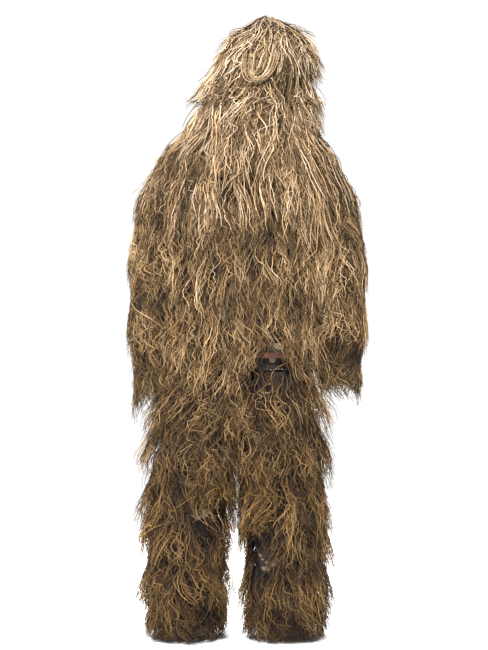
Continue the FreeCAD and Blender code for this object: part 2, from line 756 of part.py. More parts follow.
def make_sleeve(side):
    """Upper sleeve and forearm, flat on the side next to the body, and the elasticated cuff."""
    name = SIDE_NAMES[side]
    for stack in ("sleeve", "forearm"):
        label = f"{name}_{stack}"
        outside, inside = cloth_tube(label, stack, side, closed_top=stack == "sleeve")
        tube = cut(f"{label}_tube", trimmed(f"{label}_skin", outside, side),
                   trimmed(f"{label}_bore", inside, side, size("cloth")))
        ring = trimmed(f"{label}_fringe_side", fringe_ring(f"{label}_fringe", stack, side), side)
        if stack == "sleeve":
            tube = cut(f"{label}_open", tube, armhole_mouth(f"{label}_opening", side))
            ring = cut(f"{label}_fringe_open", ring, armhole_mouth(f"{label}_fringe_mouth", side))
        keep(f"{label}_cloth", tube)
        keep(f"{label}_fringe", ring)
    keep(f"{name}_cuff", round_band(f"{name}_cuff", side, "forearm", 4, "cuff"))


def armhole_mouth(label, side):
    """A short bar that opens the sleeve's inner side without reaching its outer side."""
    plane, depth = size("arm_plane"), size("armhole_mouth")
    near = f"{size('arm_centre')} + {side} * ({plane} - {depth})"
    far = f"{size('arm_centre')} + {side} * ({plane} + {depth})"
    start, end = (near, far) if side == LEFT else (far, near)
    return cylinder_along_x(label, size("armhole_radius"), start, end, size("armhole_height"))


# ---------------------------------------------------------------------------
# Hood
# ---------------------------------------------------------------------------

def face_plug(label, grow):
    """An elliptical bar along Y through the face opening."""
    made = doc.addObject("Part::Ellipse", f"{label}_outline")
    made.MajorRadius, made.MinorRadius = 2, 1
    tilt = FreeCAD.Rotation(FreeCAD.Vector(1, 0, 0), 90)
    turn = FreeCAD.Rotation(FreeCAD.Vector(0, 0, 1), 90)
    made.Placement = FreeCAD.Placement(FreeCAD.Vector(0, 0, 0), tilt.multiply(turn))
    made.setExpression("MajorRadius", f"{size('face_tall')} + ({grow})")
    made.setExpression("MinorRadius", f"{size('face_width')} + ({grow})")
    made.setExpression("Placement.Base.x", size("face_centre"))
    made.setExpression("Placement.Base.z", size("face_height"))
    plug = doc.addObject("Part::Extrusion", label)
    plug.Base = made
    plug.DirMode = "Custom"
    plug.Dir = FreeCAD.Vector(0, -1, 0)
    plug.Solid = True
    plug.setExpression("LengthFwd", f"{size('reach')} / 2")
    return plug


def crown_layer(label, low, high):
    """A thin layer that follows the crown's outside between two distances."""
    rows = range(CLOTH_ROWS["crown"])
    past = size("overshoot")
    return cut(label, plain_loft(f"{label}_outer", "crown", LEFT, high, rows, high, "0"),
               plain_loft(f"{label}_inner", "crown", LEFT, low, rows, low, f"-{past}"))


def face_ring(label, inner, outer, low, high):
    """A band round the face opening, between two distances from its edge and from the crown."""
    frame = cut(f"{label}_frame", face_plug(f"{label}_wide", outer), face_plug(f"{label}_narrow", inner))
    return common(f"{label}_band", crown_layer(f"{label}_layer", low, high), frame)


def make_crown():
    outside, inside = cloth_tube("crown", "crown", closed_top=True)
    shell = cut("crown_shell", outside, inside)
    keep("hood_crown", cut("crown_open", shell, face_plug("crown_face", "0")))
    casing = face_ring("casing", "0", size("casing_width"), size("casing_low"), size("casing_high"))
    play = size("elastic_play")
    groove = face_ring("groove", "-1", f"{size('elastic_outer')} + {play}",
                       f"{size('elastic_low')} - {play}", f"{size('elastic_high')} + {play}")
    keep("hood_face_casing", cut("casing_hollow", casing, groove))
    keep("hood_face_elastic", face_ring("elastic", size("elastic_inner"), size("elastic_outer"),
                                        size("elastic_low"), size("elastic_high")))
    cap = ellipse("crown_cap", True, "Sizes.crown_0_lean", size("crown_top"),
                  size("crown_cap_width"), size("crown_cap_depth"))
    ring = fringe_ring("crown_fringe", "crown", cap=cap, top_rise=size("fringe_gap"))
    clear = face_plug("fringe_face", f"{size('casing_width')} + {size('fringe_gap')}")
    keep("hood_crown_fringe", cut("crown_fringe_open", ring, clear))


def make_cape():
    keep("hood_cape", cut("cape_tube", *cloth_tube("cape", "cape")))
    keep("hood_cape_fringe", fringe_ring("cape_fringe", "cape", depth_ratio=1.3))


# ---------------------------------------------------------------------------
# The whole suit
# ---------------------------------------------------------------------------

fill_sheet()
make_waistband()
make_seat()
make_jacket_cloth()
make_jacket_fringe()
make_armhole_bands()
make_collar_and_hem()
make_zip_ends()
make_slider()
make_puller()
make_hanger_loop()
for body_side in (LEFT, RIGHT):
    make_zip_side(body_side)
    make_leg(body_side)
    make_sleeve(body_side)
make_crown()
make_cape()
doc.recompute()

for item in doc.Objects:
    if any(word in state for state in item.State for word in ("Invalid", "Error")):
        raise RuntimeError(f"{item.Label} failed: {item.State}")
for node_name, part in parts.items():
    if part.Shape.isNull() or not part.Shape.isValid() or not part.Shape.Solids:
        raise RuntimeError(f"{node_name} has no valid solid")

os.makedirs("parts", exist_ok=True)
for node_name, part in parts.items():
    part.Shape.exportStep(f"parts/{node_name}.step")
print(f"{len(parts)} sub-parts written")
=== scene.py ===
import math

import bmesh
import bpy
import numpy as np
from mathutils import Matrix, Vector


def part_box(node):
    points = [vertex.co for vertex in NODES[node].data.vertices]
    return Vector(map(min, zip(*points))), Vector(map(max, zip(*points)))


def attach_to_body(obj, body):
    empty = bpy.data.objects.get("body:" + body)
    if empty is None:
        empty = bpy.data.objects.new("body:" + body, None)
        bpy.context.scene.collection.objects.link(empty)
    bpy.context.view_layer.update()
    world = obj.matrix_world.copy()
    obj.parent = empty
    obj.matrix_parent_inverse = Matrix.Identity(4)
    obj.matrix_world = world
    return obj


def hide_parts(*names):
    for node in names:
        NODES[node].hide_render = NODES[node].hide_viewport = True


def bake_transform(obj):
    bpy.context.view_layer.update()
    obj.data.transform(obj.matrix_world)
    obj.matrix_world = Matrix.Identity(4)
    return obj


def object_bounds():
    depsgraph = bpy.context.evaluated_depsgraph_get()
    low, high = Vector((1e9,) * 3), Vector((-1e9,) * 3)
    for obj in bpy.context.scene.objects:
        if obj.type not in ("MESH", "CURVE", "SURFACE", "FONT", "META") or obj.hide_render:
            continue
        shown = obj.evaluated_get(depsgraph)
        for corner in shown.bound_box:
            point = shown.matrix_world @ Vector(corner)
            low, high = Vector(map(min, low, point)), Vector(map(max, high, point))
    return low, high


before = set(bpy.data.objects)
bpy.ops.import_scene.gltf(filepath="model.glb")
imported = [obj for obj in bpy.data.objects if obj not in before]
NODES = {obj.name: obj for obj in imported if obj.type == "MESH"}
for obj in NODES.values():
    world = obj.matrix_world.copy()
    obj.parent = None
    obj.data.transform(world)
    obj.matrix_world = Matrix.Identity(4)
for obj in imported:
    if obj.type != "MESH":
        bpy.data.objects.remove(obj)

CAD_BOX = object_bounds()
TAU = 2 * math.pi
SIDES = {"left": 1, "right": -1}
rng = np.random.default_rng(41)

TIER_REACH = 0.045                              # metres of height over which the tiers hide each other
THINNEST, THICKEST = 0.006, 0.06                # the yarn's thickness over the cloth
LOOSE_X, LOOSE_Y, LOOSE_TOP = 0.026, 0.015, 0.050   # how far strands may leave the CAD's own box
EASE_FROM = 0.84                                # share of the way out where strands start bending back
TUBE_SIDES = 3
FACES_PER_PIECE = 190_000
BAKE_MAP = "OFBake"


# ---------------------------------------------------------------- sections of the frame's solids

def corner_array(mesh):
    co = np.empty(len(mesh.vertices) * 3)
    mesh.vertices.foreach_get("co", co)
    return co.reshape(-1, 3)


def crossings(names, height):
    """Points where the edges of these nodes cross one height."""
    found = []
    for name in names:
        mesh = NODES[name].data
        co = corner_array(mesh)
        ends = np.empty(len(mesh.edges) * 2, int)
        mesh.edges.foreach_get("vertices", ends)
        a, b = co[ends[0::2]], co[ends[1::2]]
        hit = (a[:, 2] - height) * (b[:, 2] - height) < 0
        a, b = a[hit], b[hit]
        share = (height - a[:, 2]) / (b[:, 2] - a[:, 2])
        found.append(a[:, :2] + share[:, None] * (b - a)[:, :2])
    return np.concatenate(found) if found else np.empty((0, 2))


def ellipse_at(names, height, side):
    """Centre and half sizes of the level ellipse through these nodes, or NaN where there is none."""
    points = crossings(names, height)
    if len(points) < 12:
        return [np.nan] * 4
    low, high = points.min(0), points.max(0)
    if side:
        middle = points[points[:, 1].argmax(), 0] + points[points[:, 1].argmin(), 0]
        x = middle / 2
        outer = high[0] if side > 0 else low[0]
        return [x, (low[1] + high[1]) / 2, abs(outer - x), (high[1] - low[1]) / 2]
    x = (low[0] + high[0]) / 2
    y = (points[points[:, 0].argmax(), 1] + points[points[:, 0].argmin(), 1]) / 2
    return [x, y, (high[0] - low[0]) / 2, high[1] - y]


def filled(table):
    """The same rows with every gap bridged from the rows round it."""
    rows = np.arange(len(table))
    for column in table.T:
        good = np.isfinite(column)
        column[:] = np.interp(rows, rows[good], column[good])
    return table


class Skin:
    """A cloth tube as level ellipses, with the outer surface of the yarn on it. Places on it are s, the way
    down from its top in metres, and an angle round it, where 0 is +X and a quarter turn is +Y.

    gap is a range of heights bridged from above and below, capped closes the top to a point, tail carries
    the tube on below the cloth, fuller lists (height, more thickness), and soften averages that many
    sections each way. A limb has a side, 1 or -1, and an inner_plane its yarn stays outside of, less a lap
    at the front and back."""

    def __init__(self, cloth, yarn, rows=56, side=0, gap=None, capped=False, tail=0.45, inner_plane=None,
                 fuller=((0, 0),), lap=0.0, soften=0):
        inset = 0.001
        low = min(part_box(n)[0].z for n in cloth) + inset
        high = max(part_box(n)[1].z for n in cloth) - inset
        z = np.linspace(high, low, rows)
        base = np.array([ellipse_at(cloth, h, side) for h in z])
        cover = np.array([ellipse_at(yarn, h, side) for h in z])
        if gap is not None:
            base[(z > gap[0]) & (z < gap[1])] = np.nan
            cover[(z > gap[0]) & (z < gap[1])] = np.nan
        base, cover = filled(base), filled(cover)
        thick = np.clip(cover[:, 2:] - base[:, 2:], THINNEST, THICKEST)
        near = np.abs(z[:, None] - z[None, :]) < TIER_REACH
        thick = np.array([thick[row].max(0) for row in near])
        thick = np.array([thick[row].mean(0) for row in near])
        if soften:
            padded = np.pad(base, ((soften, soften), (0, 0)), "edge")
            base = np.array([padded[row:row + 2 * soften + 1].mean(0) for row in range(len(base))])
        heights, more = zip(*sorted(fuller))
        thick += np.interp(z, heights, more)[:, None] * (1, 0.3)
        if capped:
            rise, point = 0.020, 0.003
            z = np.concatenate([[high + rise], z])
            base = np.concatenate([[[base[0, 0], base[0, 1], point, point]], base])
            thick = np.concatenate([thick[:1], thick])
        z = np.append(z, low - tail)
        base = np.concatenate([base, base[-1:]])
        thick = np.concatenate([thick, thick[-1:]])
        radius = base[:, 2:].mean(1)
        step = np.hypot(np.diff(z), np.diff(radius))
        self.s = np.concatenate([[0], np.cumsum(step)])
        slope = np.gradient(radius, self.s)
        drop = -np.gradient(z, self.s)
        self.columns = np.column_stack([z, base, thick, drop, slope])
        self.side, self.inner_plane, self.lap = side, inner_plane, lap

    def at(self, s):
        return [np.interp(s, self.s, c) for c in self.columns.T]

    def down_to(self, z):
        """s at a height."""
        return np.interp(-z, -self.columns[:, 0], self.s)

    def height(self, s):
        return np.interp(s, self.s, self.columns[:, 0])

    def reach(self, s, angle):
        """Metres round the tube per turn of one radian."""
        a, b = self.at(s)[3:5]
        return np.maximum(np.hypot(a * np.sin(angle), b * np.cos(angle)), 0.02)

    def girth(self, s):
        a, b = self.at(s)[3:5]
        return math.pi * (3 * (a + b) - math.sqrt((3 * a + b) * (a + 3 * b)))

    def even_angle(self, s, share):
        """Angles spaced evenly by length round the ellipse."""
        fine = np.linspace(0, TAU, 181)
        way = np.concatenate([[0], np.cumsum(self.reach(s, (fine[1:] + fine[:-1]) / 2))])
        return np.interp(share % 1 * way[-1], way, fine)

    def point(self, s, angle, level, depth):
        """A place off the cloth: level is a share of the yarn's thickness, depth is more in metres."""
        z, x, y, a, b, ta, tb, drop, slope = self.at(s)
        c, d = np.cos(angle), np.sin(angle)
        off_a = np.maximum(level * ta + depth, 0.001)
        off_b = np.maximum(level * tb + depth, 0.001)
        steep = np.hypot(drop, slope) + 1e-9
        px = x + (a + off_a * drop / steep) * c
        py = y + (b + off_b * drop / steep) * d
        pz = z + np.minimum(off_a, off_b) * slope / steep
        if self.inner_plane is not None:
            open_side = np.clip((np.abs(py) - 0.015) / 0.04, 0, 1) * self.lap
            px = self.side * np.maximum(self.side * px, self.side * self.inner_plane - open_side)
        return np.stack([px, py, pz], -1)


def within(path):
    """Strands that would stand out past the suit's own size bend back towards it."""
    for axis, loose in ((0, LOOSE_X), (1, LOOSE_Y)):
        middle = (CAD_BOX[0][axis] + CAD_BOX[1][axis]) / 2
        limit = (CAD_BOX[1][axis] - CAD_BOX[0][axis]) / 2 + loose
        start = EASE_FROM * limit
        away = path[..., axis] - middle
        over = np.maximum(np.abs(away) - start, 0)
        eased = start + (limit - start) * (1 - np.exp(-over / (limit - start)))
        path[..., axis] = np.where(over > 0, middle + np.sign(away) * eased, path[..., axis])
    path[..., 2] = np.minimum(path[..., 2], CAD_BOX[1].z + LOOSE_TOP)
    return path


# ---------------------------------------------------------------- colour and materials

def linear(r, g, b):
    """Linear light values of an 8-bit sRGB colour."""
    v = np.array([r, g, b]) / 255
    return np.where(v <= 0.04045, v / 12.92, ((v + 0.055) / 1.055) ** 2.4)


# The yarn's colour by height: partly its own tone, paler on the hood and darker on the trousers, and partly
# painted light, lighter towards the top as light falls from above.
YARN_WITH_PAINTED_TOP_LIGHT = [
    (0.00, linear(116, 87, 46)),
    (0.45, linear(119, 90, 49)),
    (0.85, linear(148, 119, 80)),
    (1.10, linear(162, 133, 94)),
    (1.35, linear(164, 136, 102)),
    (1.55, linear(178, 150, 117)),
    (1.83, linear(168, 143, 112)),
]
# These powers act on the strands' tone together with the painted shade and painted light along them: painted
# shade turns warmer, painted light paler.
DEEPER_WARMER = np.array([0.90, 1.0, 1.28])     # powers of the shade: blue falls off first in the dark
LOCK_SHADE_SPREAD, STRAND_SHADE_SPREAD = 0.33, 0.34
DARK_SHARE, DARK_SHADE = 0.38, 0.17
BRIGHT_SHARE, BRIGHT_SHADE = 0.24, 1.75
BRIGHTEST = 2.1
# Painted shade at a strand's root and painted light at its tip.
ROOT_PAINTED_SHADE, TIP_PAINTED_LIGHT = 0.08, 1.14
# Painted shade: yarn in the lower tiers, under the outer locks, is painted darker.
SUNK_PAINTED_SHADE, TOP_TIER = 0.07, 1.2                # shade of the lowest yarn, and the level that is fully lit
TINT_RANGE = (0.004, 0.9)


def yarn_colour_with_painted_top_light(z):
    heights = [h for h, _ in YARN_WITH_PAINTED_TOP_LIGHT]
    return np.stack([np.interp(z, heights, [c[i] for _, c in YARN_WITH_PAINTED_TOP_LIGHT]) for i in range(3)], -1)


class Nodes:
    """A small helper that adds and links shader nodes."""

    def __init__(self, name):
        self.material = bpy.data.materials.new(name)
        self.material.use_nodes = True
        self.tree = self.material.node_tree
        self.shader = self.tree.nodes["Principled BSDF"]
        self.place = self.add("ShaderNodeTexCoord").outputs["Object"]

    def add(self, kind, **values):
        node = self.tree.nodes.new(kind)
        for key, value in values.items():
            if hasattr(node, key):
                setattr(node, key, value)
            else:
                node.inputs[key.replace("_", " ")].default_value = value
        return node

    def link(self, source, target):
        self.tree.links.new(source, target)

    def stretched(self, x, y, z):
        node = self.add("ShaderNodeMapping")
        node.inputs["Scale"].default_value = (x, y, z)
        self.link(self.place, node.inputs["Vector"])
        return node.outputs["Vector"]

    def noise(self, vector, scale, detail=3.0, rough=0.5):
        node = self.add("ShaderNodeTexNoise", Scale=scale, Detail=detail, Roughness=rough)
        self.link(vector, node.inputs["Vector"])
        return node.outputs["Fac"]

    def ramp(self, value, stops, step=False):
        node = self.add("ShaderNodeValToRGB")
        ramp = node.color_ramp
        ramp.interpolation = "CONSTANT" if step else "LINEAR"
        while len(ramp.elements) < len(stops):
            ramp.elements.new(0.5)
        for element, (at, colour) in zip(ramp.elements, stops):
            element.position = at
            element.color = (*colour, 1)
        self.link(value, node.inputs["Fac"])
        return node.outputs["Color"]

    def mix(self, a, b, share, kind="MULTIPLY"):
        node = self.add("ShaderNodeMix", data_type="RGBA", blend_type=kind)
        for socket, value in ((node.inputs[6], a), (node.inputs[7], b), (node.inputs[0], share)):
            if isinstance(value, bpy.types.NodeSocket):
                self.link(value, socket)
            else:
                socket.default_value = value
        return node.outputs[2]

    def spread(self, value, low, high):
        node = self.add("ShaderNodeMapRange")
        node.inputs["To Min"].default_value = low
        node.inputs["To Max"].default_value = high
        self.link(value, node.inputs["Value"])
        return node.outputs["Result"]

    def finish(self, colour, rough, height, strength, distance, sheen=0.0):
        self.link(colour, self.shader.inputs["Base Color"])
        self.link(rough, self.shader.inputs["Roughness"])
        bump = self.add("ShaderNodeBump")
        bump.inputs["Strength"].default_value = strength
        bump.inputs["Distance"].default_value = distance
        self.link(height, bump.inputs["Height"])
        self.link(bump.outputs["Normal"], self.shader.inputs["Normal"])
        self.shader.inputs["Sheen Weight"].default_value = sheen
        self.shader.inputs["Sheen Roughness"].default_value = 0.5
        return self.material


def yarn_material(name, mottle):
    """Fluffy spun yarn: the strand's tint, its own tone with painted shade towards the roots and in the lower
    tiers and painted light towards the top, broken by fibres along it and darker flecks.
    """
    n = Nodes(name)
    tint_with_painted_shade = n.add("ShaderNodeVertexColor", layer_name="tint_with_painted_shade").outputs["Color"]
    fibres = n.noise(n.stretched(900, 900, 160), 1.0, 4, 0.6)
    flecks = n.noise(n.place, mottle, 3, 0.55)
    colour = n.mix(tint_with_painted_shade, n.ramp(fibres, [(0.25, (0.62, 0.60, 0.56)), (0.75, (1.25, 1.25, 1.22))]), 1.0)
    colour = n.mix(colour, n.ramp(flecks, [(0.30, (0.72, 0.69, 0.62)), (0.70, (1.12, 1.12, 1.12))]), 1.0)
    return n.finish(colour, n.spread(fibres, 0.98, 0.78), fibres, 0.5, 0.0012)


def weave(n, pitch):
    """Height of a plain weave: threads across and along, pitch metres apart."""
    across = n.add("ShaderNodeTexWave", wave_type="BANDS", bands_direction="DIAGONAL", Scale=0.5 / pitch)
    n.link(n.stretched(1, 1, 0.1), across.inputs["Vector"])
    along = n.add("ShaderNodeTexWave", wave_type="BANDS", bands_direction="Z", Scale=0.5 / pitch)
    n.link(n.place, along.inputs["Vector"])
    return n.mix(across.outputs["Color"], along.outputs["Color"], 1.0)


def camo_material(name):
    """Printed base cloth: near-black, purple-brown and grey-beige blots on a brown ground, woven."""
    n = Nodes(name)
    bend = n.noise(n.place, 30, 2)
    blots = n.noise(n.stretched(1, 1, 1.6), 17, 2.5, 0.45)
    marks = n.noise(n.stretched(1.3, 1.3, 0.8), 26, 1.5, 0.4)
    ground = n.ramp(blots, [
        (0.0, linear(26, 19, 15)), (0.47, linear(54, 39, 30)), (0.53, linear(24, 17, 14)),
        (0.59, linear(146, 128, 102)),
    ], step=True)
    dark = n.ramp(marks, [(0.0, (1, 1, 1)), (0.56, (0.26, 0.22, 0.20))], step=True)
    colour = n.mix(ground, dark, 1.0)
    threads = weave(n, 0.0011)
    colour = n.mix(colour, n.ramp(threads, [(0.0, (0.72, 0.72, 0.72)), (1.0, (1.06, 1.06, 1.06))]), 0.7)
    colour = n.mix(colour, n.ramp(bend, [(0.3, (0.86, 0.86, 0.86)), (0.7, (1.08, 1.06, 1.02))]), 1.0)
    return n.finish(colour, n.spread(threads, 0.94, 0.8), threads, 0.35, 0.0006)


def band_material(name, colour, pitch, direction="Z"):
    """Woven band or knitted elastic: ribs across it, lighter on the ribs and darker between them."""
    n = Nodes(name)
    ribs = n.add("ShaderNodeTexWave", wave_type="BANDS", bands_direction=direction, Scale=0.5 / pitch,
                 Distortion=0.6).outputs["Color"]
    n.link(n.place, ribs.node.inputs["Vector"])
    wear = n.noise(n.place, 55, 4, 0.6)
    shade = n.mix((*colour, 1), n.ramp(ribs, [(0.1, (0.66, 0.66, 0.66)), (0.9, (1.12, 1.12, 1.12))]), 0.8)
    shade = n.mix(shade, n.ramp(wear, [(0.3, (0.75, 0.74, 0.72)), (0.7, (1.15, 1.15, 1.15))]), 1.0)
    return n.finish(shade, n.spread(wear, 0.92, 0.68), ribs, 0.4, 0.0007, 0.05)


def hard_material(name, colour, metal, rough, scratch):
    """Moulded plastic or plated metal with fine wear."""
    n = Nodes(name)
    wear = n.noise(n.stretched(1, 1, 0.3), scratch, 5, 0.65)
    shade = n.mix((*colour, 1), n.ramp(wear, [(0.3, (0.8, 0.8, 0.8)), (0.7, (1.12, 1.11, 1.1))]), 1.0)
    n.shader.inputs["Metallic"].default_value = metal
    return n.finish(shade, n.spread(wear, rough + 0.16, rough - 0.08), wear, 0.15, 0.0002)


MATERIALS = {
    "hood_yarn": yarn_material("hood_yarn", 38),
    "jacket_yarn": yarn_material("jacket_yarn", 30),
    "trouser_yarn": yarn_material("trouser_yarn", 26),
    "base_cloth": camo_material("base_cloth"),
    "hem_binding": band_material("hem_binding", linear(80, 42, 26), 0.0016),
    "elastic": band_material("elastic", linear(74, 66, 52), 0.0024, "X"),
    "zip_web": band_material("zip_web", linear(62, 54, 42), 0.0013),
    "zip_plastic": hard_material("zip_plastic", linear(58, 50, 38), 0.0, 0.45, 260),
    "zip_metal": hard_material("zip_metal", linear(120, 110, 92), 0.9, 0.34, 420),
}


# ---------------------------------------------------------------- yarn

def waves(count, t, turns_low, turns_high):
    """One slow random wave per strand, nothing at the root."""
    turns = rng.uniform(turns_low, turns_high, (count, 1))
    phase = rng.uniform(0, TAU, (count, 1))
    return (np.sin(TAU * turns * t + phase) - np.sin(phase)) * np.minimum(t * 3, 1)


# How a kind of yarn looks. rings is the number of points along a strand; curl is how far it winds and wave
# the length of one turn, in metres; loop is how much it winds up and down; fall is the share of its length
# that goes down; gather draws a lock's tips together; strands is how many a lock has; spread, wander and
# radius are in metres; stray is the share of strands that leave the lock.
ROPES = dict(rings=13, curl=(0.0008, 0.003), wave=(0.08, 0.16), loop=0.1, fall=(0.94, 1.0), gather=0.75,
             strands=(8, 13), spread=0.010, wander=0.010, radius=(0.0010, 0.0017), stray=0.02)
# root is the painted shade at the strands' roots; lighter here, so the crown's roots are not painted dark.
CROWN_ROPES = dict(ROPES, root=0.75, stray=0.0)
WISPS = dict(rings=26, curl=(0.002, 0.007), wave=(0.030, 0.07), loop=0.6, fall=(0.75, 0.97), gather=0.2,
             strands=(2, 4), spread=0.012, wander=0.014, radius=(0.0009, 0.0014), stray=0.06)
HANGING = dict(rings=14, curl=(0.001, 0.005), wave=(0.06, 0.13), loop=0.3, fall=(0.88, 1.0), gather=0.5,
               strands=(9, 13), spread=0.011, wander=0.010, radius=(0.0008, 0.0014), stray=0.02)
CURLS = dict(rings=32, curl=(0.002, 0.006), wave=(0.024, 0.055), loop=0.45, fall=(0.78, 0.96), gather=0.2,
             strands=(3, 5), spread=0.012, wander=0.011, radius=(0.0008, 0.0013), stray=0.04)
RINGLETS = dict(rings=34, curl=(0.003, 0.007), wave=(0.024, 0.055), loop=0.6, fall=(0.74, 0.94), gather=0.1,
                strands=(4, 6), spread=0.012, wander=0.012, radius=(0.0008, 0.0013), stray=0.04)
HOOD_YARN, BODY_YARN, LEG_YARN = (ROPES, WISPS), (HANGING, CURLS), (HANGING, RINGLETS)
ROOT_LEVEL = 0.05                               # roots start this share of the yarn's thickness off the cloth


def grow(skin, s, angle, length, lift, look, turn=None):
    """Locks of strands from these roots: s, angle, length and lift hold one value for each lock. Gives the
    strands' centre lines, radii, tints with painted shade and painted light, and the lock's root height."""
    number = rng.integers(look["strands"][0], look["strands"][1] + 1, len(s))
    owner = np.repeat(np.arange(len(s)), number)
    count = len(owner)
    t = np.linspace(0, 1, look["rings"])[None, :]

    def each(low, high):
        return rng.uniform(low, high, (count, 1))

    side_off = rng.normal(0, look["spread"], (count, 1))
    down_off = rng.normal(0, 0.006, (count, 1))
    size = length[owner][:, None] * each(0.72, 1.1)
    lean = rng.normal(0, 0.08, len(s))[owner][:, None] + rng.normal(0, 0.05, (count, 1))
    if turn is not None:
        lean = lean + turn[owner][:, None]
    stray = rng.random((count, 1)) < look["stray"]
    lean = np.where(stray, lean + each(-0.8, 0.8), lean)
    fall = each(*look["fall"])

    slow = look["wander"] * waves(len(s), t, 0.4, 1.1)[owner]
    own = 0.35 * look["wander"] * waves(count, t, 0.8, 2.2)
    swell = np.minimum(t * 2.2, 1) * each(*look["curl"])
    pace = TAU * size / each(*look["wave"])
    phase = each(0, TAU)
    curl_side = swell * np.sin(pace * t + phase) + 0.45 * swell * np.sin(1.93 * pace * t + 2 * phase)
    curl_out = 0.8 * swell * np.cos(pace * t + phase + 0.6)
    curl_down = look["loop"] * swell * np.sin(pace * t + phase + 2.1)

    together = 1 - look["gather"] * t
    sideways = side_off * together + slow + own + curl_side + np.sin(lean) * size * t * 0.85
    way = s[owner][:, None] + down_off + size * fall * np.cos(lean) * t + curl_down
    root_s, root_angle = s[owner][:, None], angle[owner][:, None]
    turned = root_angle + sideways / skin.reach(root_s + 0.6 * size * t, root_angle)
    top = lift[owner][:, None] * each(0.75, 1.15)
    level = ROOT_LEVEL + (top - ROOT_LEVEL) * t ** 0.65
    depth = curl_out + stray * 0.008 * np.sin(math.pi * t)
    path = within(skin.point(way, turned, level, depth))

    radius = each(*look["radius"]) * (1 - 0.55 * t ** 3)
    lock_shade = rng.normal(0, LOCK_SHADE_SPREAD, len(s))[owner]
    shade = np.exp(lock_shade + rng.normal(0, STRAND_SHADE_SPREAD, count))[:, None]
    dark = rng.random((count, 1)) < DARK_SHARE
    bright = rng.random((count, 1)) < BRIGHT_SHARE
    shade *= np.where(dark, DARK_SHADE, 1.0) * np.where(bright, BRIGHT_SHADE, 1.0)
    shade = np.minimum(shade, BRIGHTEST)
    warm = rng.normal(0, 0.05, (count, 1))
    # base holds the yarn's own tone by height together with painted light from above.
    base = yarn_colour_with_painted_top_light(path[:, :, 2])
    # Painted shade: the lower a strand's tier, the darker it is painted.
    painted_depth_shade = SUNK_PAINTED_SHADE + np.clip(top / TOP_TIER, 0, 1) ** 1.8
    # Painted shade towards the root and painted light at the tip, standing in for the shade under the locks.
    root = look.get("root", ROOT_PAINTED_SHADE)
    along = (shade * painted_depth_shade * (root + (TIP_PAINTED_LIGHT - root) * np.minimum(t * 1.5, 1) ** 1.5))[..., None]
    hue = np.concatenate([1 + warm, np.ones((count, 1)), 1 - 1.6 * warm], 1)[:, None, :]
    tint_with_painted_shade = base * along ** DEEPER_WARMER * hue
    return path, radius, np.clip(tint_with_painted_shade, *TINT_RANGE), skin.height(s)[owner]


def sewn_rows(skin, top, bottom, pitch, gap, skip=None):
    """Roots along rows sewn round the tube, from height top to bottom, pitch apart and gap along the row."""
    first, last = skin.down_to(top), skin.down_to(bottom)
    s_all, angle_all, row_all = [], [], []
    for row, s in enumerate(np.arange(first, last, pitch)):
        count = max(5, int(skin.girth(s) / gap))
        share = (np.arange(count) + rng.uniform(-0.35, 0.35, count)) / count + rng.random()
        s_all.append(s + rng.normal(0, 0.007, count))
        angle_all.append(skin.even_angle(s, share))
        row_all.append(np.full(count, row))
    s, angle, row = np.concatenate(s_all), np.concatenate(angle_all), np.concatenate(row_all)
    if skip is not None:
        keep = ~skip(skin, s, angle)
        s, angle, row = s[keep], angle[keep], row[keep]
    return s, angle, row


OUTER_TIER, INNER_TIER = 1.35, 0.80


def tiers(row, every):
    """Every so many rows there is a full outer tier; the ones between lie flatter."""
    return np.where(row % every == 0, OUTER_TIER, INNER_TIER) * rng.uniform(0.7, 1.15, len(row))


def frames_along(path):
    """Two vectors square to each strand at each ring, carried along without twist."""
    tangent = np.gradient(path, axis=1)
    tangent /= np.linalg.norm(tangent, axis=2, keepdims=True) + 1e-12
    helper = np.where(np.abs(tangent[:, :1, 0:1]) < 0.8, [[[1.0, 0, 0]]], [[[0, 1.0, 0]]])
    normal = np.empty_like(path)
    last = np.cross(tangent[:, 0], helper[:, 0])
    for ring in range(path.shape[1]):
        here = tangent[:, ring]
        last = last - (last * here).sum(1, keepdims=True) * here
        last /= np.linalg.norm(last, axis=1, keepdims=True) + 1e-12
        normal[:, ring] = last
    return normal, np.cross(tangent, normal)


def strand_faces(count, rings, first):
    """Vertex indices of the side quads and end triangles of this many strands."""
    n, k, j = np.meshgrid(np.arange(count), np.arange(rings - 1), np.arange(TUBE_SIDES), indexing="ij")
    ring = first + (n * rings + k) * TUBE_SIDES
    after = (j + 1) % TUBE_SIDES
    quads = np.stack([ring + j, ring + after, ring + TUBE_SIDES + after, ring + TUBE_SIDES + j], -1)
    start = first + np.arange(count)[:, None] * rings * TUBE_SIDES
    end = start + (rings - 1) * TUBE_SIDES
    caps = np.stack([start + [2, 1, 0], end + [0, 1, 2]], 1)
    return quads, caps


def strand_uvs(count, rings, first_cell, columns):
    """Each strand's faces in a small square of their own on the bake map."""
    cell = first_cell + np.arange(count)
    corner = np.stack([cell % columns, cell // columns], -1) / columns
    inset, span = 0.12 / columns, 0.76 / columns
    k, j = np.meshgrid(np.arange(rings - 1), np.arange(TUBE_SIDES), indexing="ij")
    u = np.stack([j, j + 1, j + 1, j], -1) / TUBE_SIDES
    v = np.stack([k, k, k + 1, k + 1], -1) / (rings - 1)
    local = inset + span * np.stack([u, v], -1)
    quads = corner[:, None, None, None, :] + local[None]
    low = inset + span * np.array([[0, 0], [0.5, 0.02], [1, 0]])
    high = inset + span * np.array([[0, 1], [0.5, 0.98], [1, 1]])
    caps = corner[:, None, None, :] + np.stack([low, high])[None]
    return quads, caps


